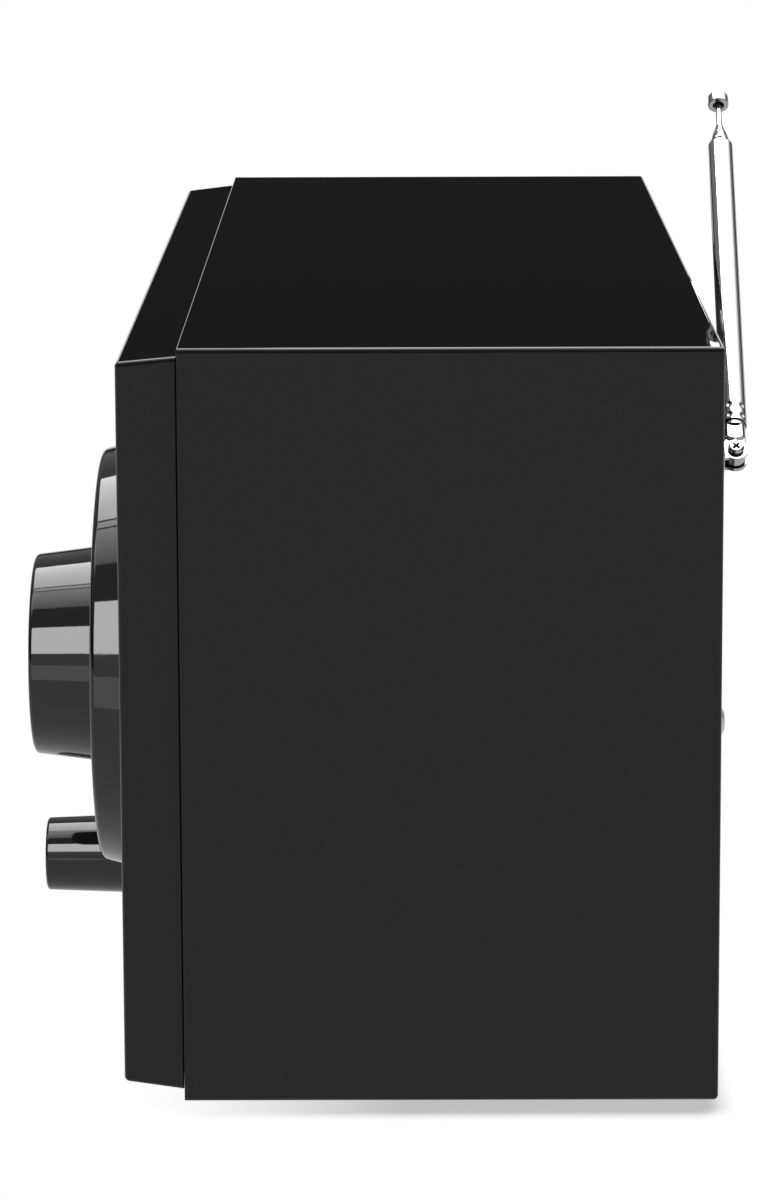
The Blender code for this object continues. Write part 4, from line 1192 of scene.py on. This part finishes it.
def make_floor():
    """A white glowing sweep with a painted contact shadow where the object stands close to it.

    The painted shadow fades towards the cabinet's front, as if light reached under it there.
    """
    bm = bmesh.new()
    bmesh.ops.create_grid(bm, x_segments=1, y_segments=1, size=FLOOR_HALF_WIDTH)
    floor = new_object("studio_floor", bm)
    material, tree, glow = emission("white_floor", FLOOR_GLOW)
    # Ambient occlusion dims the floor's glow near the object: a painted contact shadow.
    openness = add_node(tree, "AmbientOcclusion", {"Distance": CONTACT_REACH}, samples=16)
    shade = map_range(tree, openness.outputs["AO"], 0.45, 0.9, CONTACT_SHADE, 1.0)
    depth = coordinate(tree, "Object", "Y")
    share = map_range(tree, depth, SHELL_LOW.y, SHELL_LOW.y + SHADE_FADE, 0.1, 1.0)
    paths = tree.nodes.new("ShaderNodeLightPath")
    level = mix(tree, paths.outputs["Is Camera Ray"], FLOOR_GLOW, mix(tree, share, 1.0, shade))
    tree.links.new(level, glow.inputs["Strength"])
    floor.data.materials.append(material)


def make_card(name, low, high, strength, far_strength=None, axis="X"):
    """A clear glowing card that only polished surfaces see. Its light can fade along an axis."""
    low, high = Vector(low) * MM, Vector(high) * MM
    card = slab(name, low, high)
    each_face = strength / 2
    material, tree, glow = emission(name, each_face)
    clear = tree.nodes.new("ShaderNodeBsdfTransparent")
    both = add_node(tree, "AddShader", {0: glow.outputs["Emission"], 1: clear.outputs["BSDF"]})
    tree.links.new(both.outputs["Shader"], tree.nodes["Material Output"].inputs["Surface"])
    if far_strength is not None:
        along = "XYZ".index(axis)
        spot = coordinate(tree, "Object", axis)
        fade = map_range(tree, spot, low[along], high[along], each_face, far_strength / 2)
        tree.links.new(fade, glow.inputs["Strength"])
    card.data.materials.append(material)
    card.visible_camera = False
    card.visible_diffuse = False
    card.visible_shadow = False


def light_only(card, names):
    """Keeps a card's light to some pieces, so that the lid doesn't mirror it in other views."""
    group = bpy.data.collections.new(f"lit_by_{card.name}")
    for name in names:
        group.objects.link(bpy.data.objects[name])
    card.light_linking.receiver_collection = group


CARD_HEIGHT = 670
# Each card: its corners in millimetres, its strength and, where it fades, its far strength and its axis.
CARDS = (
    ("side_strip", (309, -260, 125), (310, -98, 283), 11),
    ("low_card", (309, -260, 1), (310, -98, 125), 0.85),
    ("overhead_softbox", (-413, -370, CARD_HEIGHT), (33, 390, CARD_HEIGHT + 1), 8),
    ("far_softbox", (-1200, -60, CARD_HEIGHT), (-430, 390, CARD_HEIGHT + 1), 4),
    ("rear_card", (-600, 400, CARD_HEIGHT), (60, 1000, CARD_HEIGHT + 1), 3, 0.34, "Y"),
    ("edge_strip", (45, -800, CARD_HEIGHT), (86, 300, CARD_HEIGHT + 1), 5),
    ("fading_card", (97, -800, CARD_HEIGHT), (350, 300, CARD_HEIGHT + 1), 3.8, 1.4),
)


def make_world():
    """White behind the object. Reflections see a dark room that grows lighter overhead.

    They also see a bright band at the horizon, on the side away from the camera.
    """
    world = bpy.data.worlds.new("studio")
    world.use_nodes = True
    tree = world.node_tree
    background = tree.nodes["Background"]
    background.inputs["Color"].default_value = (1, 1, 1, 1)
    height = coordinate(tree, "Generated", "Z")
    room = map_range(tree, height, 0.17, 0.3, 0.02, 0.34)
    horizon = map_range(tree, height, 0.05, 0.095, 0.8, 0.0)
    beyond = map_range(tree, coordinate(tree, "Generated", "X"), -0.8, -0.6, 1.0, 0.0)
    both = add_node(tree, "Math", {0: horizon, 1: beyond, 2: room}, operation="MULTIPLY_ADD")
    paths = tree.nodes.new("ShaderNodeLightPath")
    level = mix(tree, paths.outputs["Is Camera Ray"], both.outputs["Value"], 1.0)
    tree.links.new(level, background.inputs["Strength"])
    bpy.context.scene.world = world


def make_light():
    """A soft sun from overhead for the matt surfaces. The polished ones mirror cards and world."""
    data = bpy.data.lights.new("overhead", "SUN")
    data.energy = 2.4
    data.angle = math.radians(8)
    light = add_object("overhead", data)
    light.rotation_euler = (0, math.radians(-1.8), 0)
    light.visible_glossy = False


CAMERA_PITCH = math.radians(9.515)
CAMERA_TURN = math.radians(-0.253)
CAMERA_ROLL = math.radians(-0.207)
CAMERA_PLACE = Vector((SHELL_HIGH.x + 0.74774, SHELL_LOW.y + 0.04149, 0.25973))
CAMERA_LENS = 127.86
CAMERA_SHIFT = -0.1714


def make_camera():
    """The photographer's place: 0.75 m from the right side, near the front, looking a little down."""
    pitch, turn, roll = CAMERA_PITCH, CAMERA_TURN, CAMERA_ROLL
    forward = Vector(
        (-math.cos(pitch) * math.cos(turn), math.cos(pitch) * math.sin(turn), -math.sin(pitch))
    )
    right = Vector((math.sin(turn), math.cos(turn), 0))
    up = right.cross(forward)
    level_right = math.cos(roll) * right + math.sin(roll) * up
    level_up = math.cos(roll) * up - math.sin(roll) * right
    data = bpy.data.cameras.new("camera")
    data.sensor_width = 36
    data.lens = CAMERA_LENS
    data.shift_y = CAMERA_SHIFT
    camera = add_object("camera", data)
    camera.matrix_world = axes_at(CAMERA_PLACE, level_right, level_up, -forward)
    bpy.context.scene.camera = camera


coat_frame_nodes()
make_cabinet()
make_front_panel()
make_rear_panel()
make_battery_door()
make_rear_screws()
make_feet()
make_sockets()
make_band_switch()
make_cells()
make_dial_ring()
make_dial_face()
make_dial_marks()
make_pointer()
make_knobs()
make_grille()
make_aerial_mount()
make_aerial_fork()
make_aerial_knuckle()
make_aerial_tubes()
make_aerial_whip()
make_floor()
for card in CARDS:
    make_card(*card)
for card_name in ("side_strip", "low_card"):
    light_only(bpy.data.objects[card_name], ("tuning_dial_knob", "loudness_knob", "dial_ring"))
make_world()
make_light()
make_camera()
bpy.context.scene.view_settings.view_transform = "Standard"
